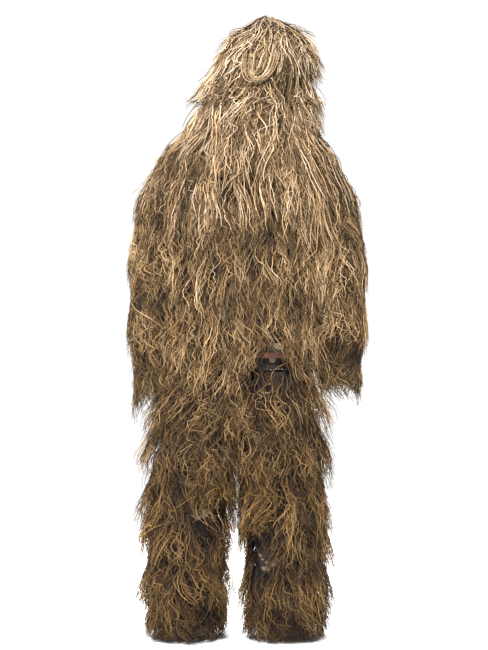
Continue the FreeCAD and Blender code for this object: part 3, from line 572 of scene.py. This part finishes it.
def yarn_mesh(name, batches):
    """One mesh of closed strands."""
    places, colours, quads, caps, quad_uv, cap_uv = [], [], [], [], [], []
    columns = math.ceil(math.sqrt(sum(len(b[0]) for b in batches)))
    vertex = cell = 0
    for path, radius, tint_with_painted_shade in batches:
        count, rings = path.shape[:2]
        normal, second = frames_along(path)
        for_side = TAU * np.arange(TUBE_SIDES) / TUBE_SIDES
        ring = np.cos(for_side)[:, None] * normal[:, :, None] + np.sin(for_side)[:, None] * second[:, :, None]
        places.append((path[:, :, None] + radius[:, :, None, None] * ring).reshape(-1, 3))
        colours.append(np.repeat(tint_with_painted_shade, TUBE_SIDES, axis=1).reshape(-1, 3))
        q, c = strand_faces(count, rings, vertex)
        qu, cu = strand_uvs(count, rings, cell, columns)
        quads.append(q.reshape(-1, 4))
        caps.append(c.reshape(-1, 3))
        quad_uv.append(qu.reshape(-1, 2))
        cap_uv.append(cu.reshape(-1, 2))
        vertex += count * rings * TUBE_SIDES
        cell += count
    places, quads, caps = np.concatenate(places), np.concatenate(quads), np.concatenate(caps)
    mesh = bpy.data.meshes.new(name)
    mesh.vertices.add(len(places))
    mesh.vertices.foreach_set("co", places.astype(np.float32).ravel())
    loops = np.concatenate([quads.ravel(), caps.ravel()])
    mesh.loops.add(len(loops))
    mesh.loops.foreach_set("vertex_index", loops.astype(np.int32))
    totals = np.concatenate([np.full(len(quads), 4), np.full(len(caps), 3)])
    mesh.polygons.add(len(totals))
    mesh.polygons.foreach_set("loop_start", (np.cumsum(totals) - totals).astype(np.int32))
    mesh.polygons.foreach_set("loop_total", totals.astype(np.int32))
    mesh.polygons.foreach_set("use_smooth", np.ones(len(totals), bool))
    mesh.update(calc_edges=True)
    layer = mesh.uv_layers.new(name=BAKE_MAP)
    layer.data.foreach_set("uv", np.concatenate(quad_uv + cap_uv).astype(np.float32).ravel())
    # The strands' tint with its painted shade and painted light, one colour for each point.
    tint_with_painted_shade = mesh.color_attributes.new("tint_with_painted_shade", "FLOAT_COLOR", "POINT")
    colours = np.concatenate(colours)
    colours = np.column_stack([colours, np.ones(len(colours))])
    tint_with_painted_shade.data.foreach_set("color", colours.astype(np.float32).ravel())
    mesh.validate()
    return mesh


def add_piece(name, mesh, material):
    mesh.materials.clear()
    mesh.materials.append(material)
    obj = bpy.data.objects.new(name, mesh)
    bpy.context.scene.collection.objects.link(obj)
    return obj


def attach(obj, holder):
    """holder is a body, or (body, body, from height, to height) for a piece over a joint between two; such a
    piece only has its placement applied and rides neither.
    """
    if isinstance(holder, str):
        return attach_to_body(obj, holder)
    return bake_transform(obj)


def yarn_pieces(name, strands, slot, holder, stands_for=()):
    """The strands as pieces small enough to export whole, from the top down."""
    strands = [batch for batch in strands if len(batch[0])]
    cost = [(batch[0].shape[1] - 1) * TUBE_SIDES * 2 + 2 for batch in strands]
    total = sum(len(b[0]) * c for b, c in zip(strands, cost))
    parts = max(1, math.ceil(total / FACES_PER_PIECE))
    order = [np.argsort(-batch[3], kind="stable") for batch in strands]
    made = []
    for part in range(parts):
        batches = []
        for batch, by_height in zip(strands, order):
            chosen = np.array_split(by_height, parts)[part]
            batches.append(tuple(column[chosen] for column in batch[:3]))
        label = name if parts == 1 else f"{name}_{part + 1}"
        obj = add_piece(label, yarn_mesh(label, batches), MATERIALS[slot])
        attach(obj, holder)
        made.append(obj)
    for obj in made:
        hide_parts(*stands_for)
    return made


def pick(strands, mask):
    """The strands of each batch where mask(root point, lock's root height) holds."""
    chosen = []
    for batch in strands:
        keep = mask(batch[0][:, 0], batch[3])
        chosen.append(tuple(column[keep] for column in batch))
    return chosen


# ---------------------------------------------------------------- cloth

def wrinkles(co, centre, size, seed):
    """How far each point moves out from the tube's axis: folds that hang mostly downwards."""
    angle = np.arctan2(co[:, 1] - centre[1], co[:, 0] - centre[0])
    z = co[:, 2]
    picks = np.random.default_rng(seed)
    total = np.zeros(len(co))
    for _ in range(7):
        turns = picks.integers(3, 17)
        rise = picks.uniform(-34, 34)
        total += np.sin(turns * angle + rise * z + picks.uniform(0, TAU)) * picks.uniform(0.3, 1)
    return size * total / 3


RIB_HEIGHT = 0.0009
CREASE_ANGLE = math.radians(50)


def soft_piece(name, nodes, slot, holder, size=0.0016, longest=0.022, ribs=None, seed=1):
    """Cloth or band built as its own mesh over these nodes: split finely, then folded or ribbed."""
    build = bmesh.new()
    for node in nodes:
        build.from_mesh(NODES[node].data)
    for _ in range(8):
        long_edges = [e for e in build.edges if e.calc_length() > longest]
        if not long_edges:
            break
        bmesh.ops.subdivide_edges(build, edges=long_edges, cuts=1)
        bmesh.ops.triangulate(build, faces=[f for f in build.faces if len(f.verts) > 3])
    mesh = bpy.data.meshes.new(name)
    build.to_mesh(mesh)
    build.free()
    co = corner_array(mesh)
    centre = (co.min(0) + co.max(0)) / 2
    move = wrinkles(co, centre, size, seed)
    if ribs:
        angle = np.arctan2(co[:, 1] - centre[1], co[:, 0] - centre[0])
        move = move + RIB_HEIGHT * np.sin(ribs * angle)
    out = co[:, :2] - centre[:2]
    out /= np.linalg.norm(out, axis=1, keepdims=True) + 1e-9
    co[:, :2] += out * move[:, None]
    mesh.vertices.foreach_set("co", co.astype(np.float32).ravel())
    mesh.polygons.foreach_set("use_smooth", np.ones(len(mesh.polygons), bool))
    mesh.update()
    mesh.set_sharp_from_angle(angle=CREASE_ANGLE)
    obj = add_piece(name, mesh, MATERIALS[slot])
    attach(obj, holder)
    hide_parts(*nodes)
    return obj


def declare_sheet(obj, skin, around):
    """The cloth's share of the tube's girth at its middle height, worked out but not kept or returned."""
    low, high = Vector(map(min, zip(*obj.bound_box))), Vector(map(max, zip(*obj.bound_box)))
    middle = skin.down_to((low.z + high.z) / 2)
    skin.girth(middle) * around


# ---------------------------------------------------------------- the tubes of the suit

ARMHOLE_LOW, ARMHOLE_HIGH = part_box("left_armhole_band")
TRUNK = Skin(["jacket_back", "jacket_front_left", "jacket_front_right"],
             ["jacket_back_fringe", "jacket_front_left_fringe", "jacket_front_right_fringe"],
             gap=(ARMHOLE_LOW.z - 0.02, ARMHOLE_HIGH.z + 0.02), tail=0.3, fuller=((0.8, 0.016), (1.4, 0.012)))
HOOD = Skin(["hood_crown", "hood_cape"], ["hood_crown_fringe", "hood_cape_fringe"], capped=True, tail=0.3,
            soften=2)
MANTLE = Skin(["hood_crown", "hood_cape", "jacket_back", "left_sleeve_cloth", "right_sleeve_cloth"],
              ["hood_crown_fringe", "hood_cape_fringe", "left_sleeve_fringe", "right_sleeve_fringe"],
              rows=110, capped=True, tail=0.1, soften=5)
SEAT = Skin(["trousers_seat"], ["seat_fringe"], rows=24, tail=0.3, fuller=((0.79, 0.05), (0.86, 0.02)))
LEG_GAP = (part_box("left_thigh_cloth")[0].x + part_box("right_thigh_cloth")[1].x) / 2
ARMS, LEGS = {}, {}
for side, sign in SIDES.items():
    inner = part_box(f"{side}_sleeve_cloth")[0 if sign > 0 else 1].x
    ARMS[side] = Skin([f"{side}_sleeve_cloth", f"{side}_forearm_cloth"],
                      [f"{side}_sleeve_fringe", f"{side}_forearm_fringe"], side=sign, inner_plane=inner,
                      fuller=((0.75, 0.004), (1.0, 0.006), (1.4, 0.004)), lap=0.080)
    inner = LEG_GAP - sign * 0.003
    LEGS[side] = Skin([f"{side}_thigh_cloth", f"{side}_shin_cloth"],
                      [f"{side}_thigh_fringe", f"{side}_shin_fringe"], rows=70, side=sign, inner_plane=inner,
                      tail=0.2, fuller=((0.42, 0.0), (0.50, 0.015), (0.62, 0.045), (0.80, 0.075)))


# ---------------------------------------------------------------- where the yarn is sewn

BARE_PATCHES = [
    (-0.088, 0.266, 0.026, 0.030), (0.059, 0.379, 0.020, 0.012), (-0.090, 0.828, 0.034, 0.014),
    (-0.040, 1.390, 0.010, 0.040), (0.018, 1.330, 0.006, 0.014), (0.200, 1.400, 0.007, 0.018),
    (-0.234, 1.338, 0.009, 0.016), (-0.262, 1.400, 0.009, 0.018), (0.150, 1.240, 0.007, 0.020),
    (0.120, 1.100, 0.009, 0.018), (0.060, 1.130, 0.008, 0.016), (-0.080, 1.170, 0.006, 0.014),
    (0.215, 1.020, 0.007, 0.024), (-0.150, 1.010, 0.006, 0.018), (0.040, 0.960, 0.006, 0.014),
    (-0.020, 0.740, 0.008, 0.026), (0.112, 0.363, 0.012, 0.006), (0.145, 0.478, 0.006, 0.004),
    (0.020, 1.560, 0.006, 0.014), (-0.120, 1.580, 0.005, 0.014), (0.130, 1.530, 0.005, 0.014),
]


SHORTEST_LOCK = 0.03
PATCH_EDGE = 0.008


def room_below(skin, s, angle):
    """How far each lock may hang before it covers a patch where the printed cloth shows. A patch is a level
    ellipse on the back: (x, height, half width, half height)."""
    place = skin.point(s, angle, 0, 0)
    room = np.full(len(s), 1.0)
    for x, z, wide, tall in BARE_PATCHES:
        across = (place[:, 0] - x) / (wide + PATCH_EDGE) + rng.normal(0, 0.2, len(s))
        over = (np.abs(across) < 1) & (place[:, 1] > 0)
        top = z + tall * np.sqrt(np.clip(1 - across ** 2, 0, 1))
        bottom = 2 * z - top
        gap = np.where(place[:, 2] > top, place[:, 2] - top, np.where(place[:, 2] > bottom, 0.0, 1.0))
        room = np.where(over, np.minimum(room, gap), room)
    return room


ZIP_X = (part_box("zip_tape_left")[0].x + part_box("zip_tape_right")[1].x) / 2
ZIP_HALF = (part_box("zip_tape_left")[1].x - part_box("zip_tape_right")[0].x) / 2 + 0.004
FACE_LOW, FACE_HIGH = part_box("hood_face_casing")
FACE_X, FACE_Z = (FACE_LOW.x + FACE_HIGH.x) / 2, (FACE_LOW.z + FACE_HIGH.z) / 2
FACE_WIDE, FACE_TALL = (FACE_HIGH.x - FACE_LOW.x) / 2, (FACE_HIGH.z - FACE_LOW.z) / 2


def trunk_skip(skin, s, angle):
    place = skin.point(s, angle, 0, 0)
    return (np.abs(place[:, 0] - ZIP_X) < ZIP_HALF + 0.006) & (place[:, 1] < 0)


def hood_skip(skin, s, angle):
    place = skin.point(s, angle, 0, 0)
    across, up = (place[:, 0] - FACE_X) / FACE_WIDE, (place[:, 2] - FACE_Z) / FACE_TALL
    return (across ** 2 + up ** 2 < 1.1) & (place[:, 1] < 0)


def keep_zip_clear(strands):
    """Strands beside the zip lie back to their own side of it."""
    for path, *_ in strands:
        offset = path[..., 0] - ZIP_X
        own = np.where(offset[:, :1] < 0, -1.0, 1.0)
        front = (path[..., 1] < 0) & (own * offset < ZIP_HALF)
        path[..., 0] = np.where(front, ZIP_X + own * (ZIP_HALF + 0.15 * np.abs(offset)), path[..., 0])
    return strands


def keep_face_clear(strands):
    """Strands above the face opening part round it like a curtain, with a short fringe over its brim."""
    for path, *_ in strands:
        margin = rng.uniform(-0.004, 0.016, (len(path), 1))
        up = (path[..., 2] - FACE_Z) / FACE_TALL
        half = FACE_WIDE * np.sqrt(np.clip(1 - (up * np.where(up > 0, 1.25, 0.95)) ** 2, 0, 1)) + margin
        offset = path[..., 0] - FACE_X
        beside = (path[..., 1] < 0) & (np.abs(up) < 1)
        own = np.where((beside * offset).sum(1, keepdims=True) < 0, -1.0, 1.0)
        inside = beside & (own * offset < half)
        path[..., 0] = np.where(inside, FACE_X + own * (half + 0.1 * np.abs(offset)), path[..., 0])
    return strands


def peaked(strands):
    """The yarn heaps up to a point at the top of the hood."""
    top = HOOD.columns[0]
    for path, *_ in strands:
        off = np.hypot(path[..., 0] - top[1], path[..., 1] - top[2])
        path[..., 2] += 0.018 * np.exp(-(off / 0.07) ** 2)
    return strands


def rows_of(skin, looks, top, bottom, pitch, gap, length, lift=1.0, skip=None, every=3, bulge=None,
            ragged=0.0):
    """Locks sewn in rows, with one batch of strands in them for each look. length is the shortest and the
    longest lock, lift the thickness of the yarn as a share of the skin's own, bulge(angle) thickens some
    sides, and ragged makes the locks longer and shorter by that share in turn round the tube."""
    s, angle, row = sewn_rows(skin, top, bottom, pitch, gap, skip)
    room = room_below(skin, s, angle)
    keep = room > SHORTEST_LOCK
    s, angle, row, room = s[keep], angle[keep], row[keep], room[keep]
    size = rng.uniform(*length, len(s)) * np.where(row % every == 0, 1.25, 0.95)
    size = size * (1 + ragged * np.sin(5 * angle + 1.0) * np.cos(3 * angle))
    size = np.minimum(size, 0.95 * room)
    high = lift * tiers(row, every) * np.minimum(size / length[0], 1)
    if bulge:
        high = high * bulge(angle)
    return [grow(skin, s, angle, size, high, look) for look in looks]


def tuft(skin, looks, z, angle, spread, locks, length, lift, turn=0.0):
    """A thick bunch of locks at one place."""
    s = skin.down_to(z) + rng.normal(0, spread * 0.4, locks)
    around = angle + rng.normal(0, spread, locks) / skin.reach(skin.down_to(z), angle)
    size = rng.uniform(*length, locks)
    high, lean = np.full(locks, lift), np.full(locks, turn)
    return [grow(skin, s, around, size, high, look, turn=lean) for look in looks]


def loop_lock(skin, z, angle, wide, drop):
    """A bunch of yarn caught at both ends, so that it hangs in a U."""
    strands = 14
    t = np.linspace(0, 1, 16)[None, :]
    s0 = skin.down_to(z)
    jitter = rng.normal(0, 0.006, (strands, 1))
    s = s0 + (drop + jitter + rng.normal(0, 0.004, (strands, 1))) * np.sin(math.pi * t) ** 0.8
    across = (wide + 2 * jitter) * (t - 0.5) * (1 + 0.25 * np.sin(math.pi * t))
    turned = angle + (across + rng.normal(0, 0.003, (strands, 1))) / skin.reach(s0, angle)
    path = within(skin.point(s, turned, np.full_like(t, 0.95), rng.uniform(0, 0.014, (strands, 1))))
    radius = rng.uniform(0.0010, 0.0017, (strands, 1)) * np.ones_like(t)
    shade = np.exp(rng.normal(-0.25, 0.6, (strands, 1)))
    # The loop's colour by height holds painted light from above.
    tint_with_painted_shade = yarn_colour_with_painted_top_light(path[:, 0, 2])[:, None, :] * (shade * np.ones_like(t))[..., None]
    return path, radius, np.clip(tint_with_painted_shade, *TINT_RANGE), np.full(strands, z)


BACK, LEFT, RIGHT = TAU / 4, 0.0, TAU / 2


def both_sides(angle):
    """Thicker towards both arms, but not where they lie against the body."""
    return 1 + 0.9 * np.cos(angle) ** 4 * (np.abs(np.sin(angle)) > 0.2)


def thicker_towards(sign, more):
    """Thicker at the edges that face one way along X."""
    def thicker(angle):
        return 1 + more * np.clip(sign * np.cos(angle), 0, 1) * (np.abs(np.sin(angle)) > 0.25)
    return thicker


hood_strands = [
    *rows_of(HOOD, (CROWN_ROPES,), 1.812, 1.788, 0.010, 0.009, (0.16, 0.26), 0.8, hood_skip, every=1),
    *rows_of(HOOD, HOOD_YARN, 1.80, 1.70, 0.044, 0.018, (0.17, 0.28), 0.75, hood_skip),
    *rows_of(HOOD, HOOD_YARN, 1.69, 1.55, 0.044, 0.018, (0.17, 0.28), 0.95, hood_skip),
    *rows_of(HOOD, HOOD_YARN, 1.55, 1.41, 0.048, 0.020, (0.13, 0.20), 1.0, hood_skip),
    *rows_of(MANTLE, HOOD_YARN, 1.58, 1.45, 0.034, 0.019, (0.12, 0.34), 0.75, hood_skip, every=4,
             ragged=0.45),
    *tuft(HOOD, HOOD_YARN, 1.72, LEFT + 0.25, 0.035, 12, (0.15, 0.20), 1.7, 0.10),
    *tuft(HOOD, HOOD_YARN, 1.77, LEFT + 0.5, 0.02, 8, (0.08, 0.11), 1.4),
    *tuft(HOOD, HOOD_YARN, 1.77, RIGHT - 0.3, 0.030, 14, (0.11, 0.15), 1.5),
    *tuft(HOOD, HOOD_YARN, 1.66, RIGHT - 0.2, 0.035, 12, (0.15, 0.20), 1.7, -0.12),
    loop_lock(HOOD, 1.690, BACK - 0.10, 0.050, 0.070),
    *tuft(HOOD, HOOD_YARN, 1.515, RIGHT - 0.75, 0.03, 5, (0.10, 0.14), 1.3, 1.2),
]
hood_strands = keep_face_clear(peaked(hood_strands))

trunk_strands = [
    *rows_of(TRUNK, HOOD_YARN, 1.47, 1.36, 0.050, 0.022, (0.12, 0.20), 0.8, trunk_skip),
    *rows_of(TRUNK, BODY_YARN, 1.36, 0.90, 0.0475, 0.020, (0.11, 0.19), 1.0, trunk_skip, every=4,
             bulge=both_sides),
]
trunk_strands = keep_zip_clear(trunk_strands)
seat_strands = rows_of(SEAT, LEG_YARN, 0.985, 0.90, 0.07, 0.030, (0.09, 0.13), 1.0)
hip_strands = rows_of(SEAT, LEG_YARN, 0.885, 0.80, 0.045, 0.021, (0.12, 0.18), 1.0)

CUFF_YARN = {"left": (0.10, 0.15), "right": (0.06, 0.10)}
FOREARM_LIFT = {"left": 0.85, "right": 0.5}
arm_strands, leg_strands = {}, {}
for side, sign in SIDES.items():
    to_body = thicker_towards(-sign, 0.9)
    arm_strands[side] = [
        *rows_of(ARMS[side], BODY_YARN, 1.41, 1.00, 0.0475, 0.021, (0.12, 0.18), 1.0, every=4, bulge=to_body),
        *rows_of(ARMS[side], BODY_YARN, 1.00, 0.85, 0.0475, 0.021, (0.11, 0.17), FOREARM_LIFT[side], every=4,
                 bulge=to_body),
        *rows_of(ARMS[side], BODY_YARN, 0.83, 0.80, 0.025, 0.018, CUFF_YARN[side], 0.65),
    ]
    leg_strands[side] = [
        *rows_of(LEGS[side], LEG_YARN, 0.785, 0.44, 0.048, 0.021, (0.12, 0.18), 0.95,
                 bulge=thicker_towards(-sign, 1.0)),
        *rows_of(LEGS[side], LEG_YARN, 0.40, 0.16, 0.050, 0.021, (0.12, 0.17), 0.95),
        *rows_of(LEGS[side], LEG_YARN, 0.125, 0.085, 0.035, 0.019, (0.08, 0.11), 0.62),
    ]


# ---------------------------------------------------------------- the yarn's pieces and the bodies they ride

FLOOR = CAD_BOX[0].z + 0.002
SEAT_X = sum(v.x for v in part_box("trousers_seat")) / 2

# The heights of each joint, upper then lower; they are passed with the pieces over it but not used.
SHOULDER = (1.45, 1.30)
ELBOW = (1.12, 1.02)
HIP = (0.86, 0.70)
KNEE = (0.50, 0.34)

# Locks sewn above these heights belong to the upper sleeve and the thigh, the others to the lower pieces.
SLEEVE_SPLIT, LEG_SPLIT = 1.20, 0.56


def above_floor(strands):
    """Strand ends that reach the floor turn up from it."""
    for path, *_ in strands:
        path[..., 2] = np.where(path[..., 2] < FLOOR, 2 * FLOOR - path[..., 2], path[..., 2])
    return strands


made = {}
made["hood"] = yarn_pieces("hood_yarn", hood_strands, "hood_yarn", "hood",
                           stands_for=["hood_crown_fringe", "hood_cape_fringe"])
for part, on_panel in (
    ("jacket_back", lambda root, z: root[:, 1] >= 0),
    ("jacket_front_left", lambda root, z: (root[:, 1] < 0) & (root[:, 0] >= ZIP_X)),
    ("jacket_front_right", lambda root, z: (root[:, 1] < 0) & (root[:, 0] < ZIP_X)),
):
    made[part] = yarn_pieces(f"{part}_yarn", pick(trunk_strands, on_panel), "jacket_yarn", "jacket",
                             stands_for=[f"{part}_fringe"])
made["seat"] = yarn_pieces("seat_yarn", seat_strands, "trouser_yarn", "trousers", stands_for=["seat_fringe"])

for side, sign in SIDES.items():
    upper = pick(arm_strands[side], lambda root, z: z >= SLEEVE_SPLIT)
    lower = pick(arm_strands[side], lambda root, z: z < SLEEVE_SPLIT)
    made[f"{side}_sleeve"] = yarn_pieces(
        f"{side}_sleeve_yarn", upper, "jacket_yarn", ("jacket", f"{side}_sleeve", *SHOULDER),
        stands_for=[f"{side}_sleeve_fringe"])
    made[f"{side}_forearm"] = yarn_pieces(
        f"{side}_forearm_yarn", lower, "jacket_yarn", (f"{side}_sleeve", f"{side}_forearm", *ELBOW),
        stands_for=[f"{side}_forearm_fringe"])
    hip = pick(hip_strands, lambda root, z: sign * (root[:, 0] - SEAT_X) >= 0)
    upper = hip + pick(leg_strands[side], lambda root, z: z >= LEG_SPLIT)
    lower = pick(leg_strands[side], lambda root, z: z < LEG_SPLIT)
    made[f"{side}_thigh"] = yarn_pieces(
        f"{side}_thigh_yarn", above_floor(upper), "trouser_yarn", ("trousers", f"{side}_thigh", *HIP),
        stands_for=[f"{side}_thigh_fringe"])
    made[f"{side}_shin"] = yarn_pieces(
        f"{side}_shin_yarn", above_floor(lower), "trouser_yarn", (f"{side}_thigh", f"{side}_shin", *KNEE),
        stands_for=[f"{side}_shin_fringe"])


# ---------------------------------------------------------------- cloth pieces and bands

def cloth(name, skin, node, holder, yarn=(), around=1.0, held="hung", **more):
    obj = soft_piece(f"{name}_fabric", [node], "base_cloth", holder, seed=sum(map(ord, name)), **more)
    declare_sheet(obj, skin, around)
    return obj


def band(name, nodes, slot, holder, **more):
    return soft_piece(name, nodes, slot, holder, longest=0.012, **more)


cloth("jacket_back", TRUNK, "jacket_back", "jacket", made["jacket_back"], 0.5)
for side in SIDES:
    cloth(f"jacket_front_{side}", TRUNK, f"jacket_front_{side}", "jacket", made[f"jacket_front_{side}"], 0.25)
    cloth(f"{side}_sleeve", ARMS[side], f"{side}_sleeve_cloth", ("jacket", f"{side}_sleeve", *SHOULDER),
          made[f"{side}_sleeve"])
    cloth(f"{side}_forearm", ARMS[side], f"{side}_forearm_cloth",
          (f"{side}_sleeve", f"{side}_forearm", *ELBOW), made[f"{side}_forearm"])
    cloth(f"{side}_thigh", LEGS[side], f"{side}_thigh_cloth", ("trousers", f"{side}_thigh", *HIP),
          made[f"{side}_thigh"])
    cloth(f"{side}_shin", LEGS[side], f"{side}_shin_cloth", (f"{side}_thigh", f"{side}_shin", *KNEE),
          made[f"{side}_shin"])
    band(f"{side}_armhole_binding", [f"{side}_armhole_band"], "base_cloth", "jacket", size=0.0004)
    band(f"{side}_ribbed_cuff", [f"{side}_cuff"], "elastic", f"{side}_forearm", size=0.0, ribs=60)
    band(f"{side}_ribbed_leg_hem", [f"{side}_leg_hem"], "elastic", f"{side}_shin", size=0.0, ribs=96)
cloth("trousers_seat", SEAT, "trousers_seat", "trousers", made["seat"])
cloth("hood_crown", HOOD, "hood_crown", "hood", made["hood"], held="stretched", size=0.0012)
cloth("hood_cape", HOOD, "hood_cape", "hood", (), held="draped")
band("stand_collar", ["jacket_collar"], "base_cloth", "jacket", size=0.0012)
band("hem_binding", ["jacket_hem_tape"], "hem_binding", "jacket", size=0.0008)
band("gathered_waistband", ["trousers_waistband"], "base_cloth", "trousers", size=0.0, ribs=70)
band("waist_elastic", ["trousers_waist_elastic"], "elastic", "trousers", size=0.0)
band("face_hem", ["hood_face_casing"], "base_cloth", "hood", size=0.0004)
band("face_elastic", ["hood_face_elastic"], "elastic", "hood", size=0.0)
band("hanger_loop_cord", ["hanger_loop"], "hem_binding", "jacket", size=0.0)

FINISHES = {
    "zip_web": ("zip_tape_left", "zip_tape_right"),
    "zip_plastic": ("zip_teeth_left", "zip_teeth_right", "zip_bottom_box", "zip_top_stops"),
    "zip_metal": ("zip_slider", "zip_puller"),
}
for finish, names in FINISHES.items():
    for name in names:
        NODES[name].data.materials.clear()
        NODES[name].data.materials.append(MATERIALS[finish])


# ---------------------------------------------------------------- stage, light and camera

FLOOR_RADIUS, FLOOR_CORNERS = 2.4, 96
ROOM_LIGHT, ROOM_SEEN = 0.22, 1.0


def studio():
    """A round white floor, in a white room that is seen but lights little."""
    turns = np.linspace(0, TAU, FLOOR_CORNERS, endpoint=False)
    rim = [(FLOOR_RADIUS * math.cos(a), FLOOR_RADIUS * math.sin(a), 0.0) for a in turns]
    mesh = bpy.data.meshes.new("floor")
    mesh.from_pydata(rim, [], [tuple(range(FLOOR_CORNERS))])
    n = Nodes("floor_paper")
    grain = n.noise(n.place, 240, 3)
    shade = n.ramp(grain, [(0.3, (0.93, 0.93, 0.93)), (0.7, (0.95, 0.95, 0.95))])
    mesh.materials.append(n.finish(shade, n.spread(grain, 0.97, 0.9), grain, 0.03, 0.0005))
    floor = bpy.data.objects.new("floor", mesh)
    bpy.context.scene.collection.objects.link(floor)

    world = bpy.data.worlds.new("white_room")
    world.use_nodes = True
    tree = world.node_tree
    glow = tree.nodes["Background"]
    seen = tree.nodes.new("ShaderNodeLightPath").outputs["Is Camera Ray"]
    strength = tree.nodes.new("ShaderNodeMapRange")
    strength.inputs["To Min"].default_value = ROOM_LIGHT
    strength.inputs["To Max"].default_value = ROOM_SEEN
    glow.inputs["Color"].default_value = (1, 1, 1, 1)
    tree.links.new(seen, strength.inputs["Value"])
    tree.links.new(strength.outputs["Result"], glow.inputs["Strength"])
    bpy.context.scene.world = world


def area_light(name, place, target, size, power):
    data = bpy.data.lights.new(name, "AREA")
    data.shape = "DISK"
    data.size = size
    data.energy = power
    lamp = bpy.data.objects.new(name, data)
    lamp.location = place
    lamp.rotation_euler = (Vector(target) - Vector(place)).to_track_quat("-Z", "Y").to_euler()
    bpy.context.scene.collection.objects.link(lamp)


studio()
MIDDLE = (CAD_BOX[0] + CAD_BOX[1]) / 2
area_light("key_over", (MIDDLE.x + 0.4, 2.8, 3.4), (MIDDLE.x, 0.0, 1.1), 1.0, 330)
area_light("fill_back_left", (2.8, 3.2, 1.6), (0, 0, 0.9), 1.6, 16)
area_light("fill_back_right", (-2.8, 3.2, 1.6), (0, 0, 0.9), 1.6, 12)
area_light("key_front", (0.3, -2.8, 3.4), (MIDDLE.x, 0.0, 1.1), 1.2, 210)
area_light("floor_wash_left", (2.6, -1.4, 3.6), (1.2, -1.2, 0.0), 2.0, 150)
area_light("floor_wash_right", (-2.6, -1.4, 3.6), (-1.2, -1.2, 0.0), 2.0, 150)

bpy.context.scene.view_settings.view_transform = "Standard"

CAMERA_PLACE = (-0.024, 4.5, 0.9235)
FILM_WIDTH, FOCAL_LENGTH = 36.0, 84.2

camera_data = bpy.data.cameras.new("camera")
camera_data.sensor_width = FILM_WIDTH
camera_data.lens = FOCAL_LENGTH
camera = bpy.data.objects.new("camera", camera_data)
camera.location = CAMERA_PLACE
camera.rotation_euler = Vector((0, -1, 0)).to_track_quat("-Z", "Y").to_euler()
bpy.context.scene.collection.objects.link(camera)
bpy.context.scene.camera = camera
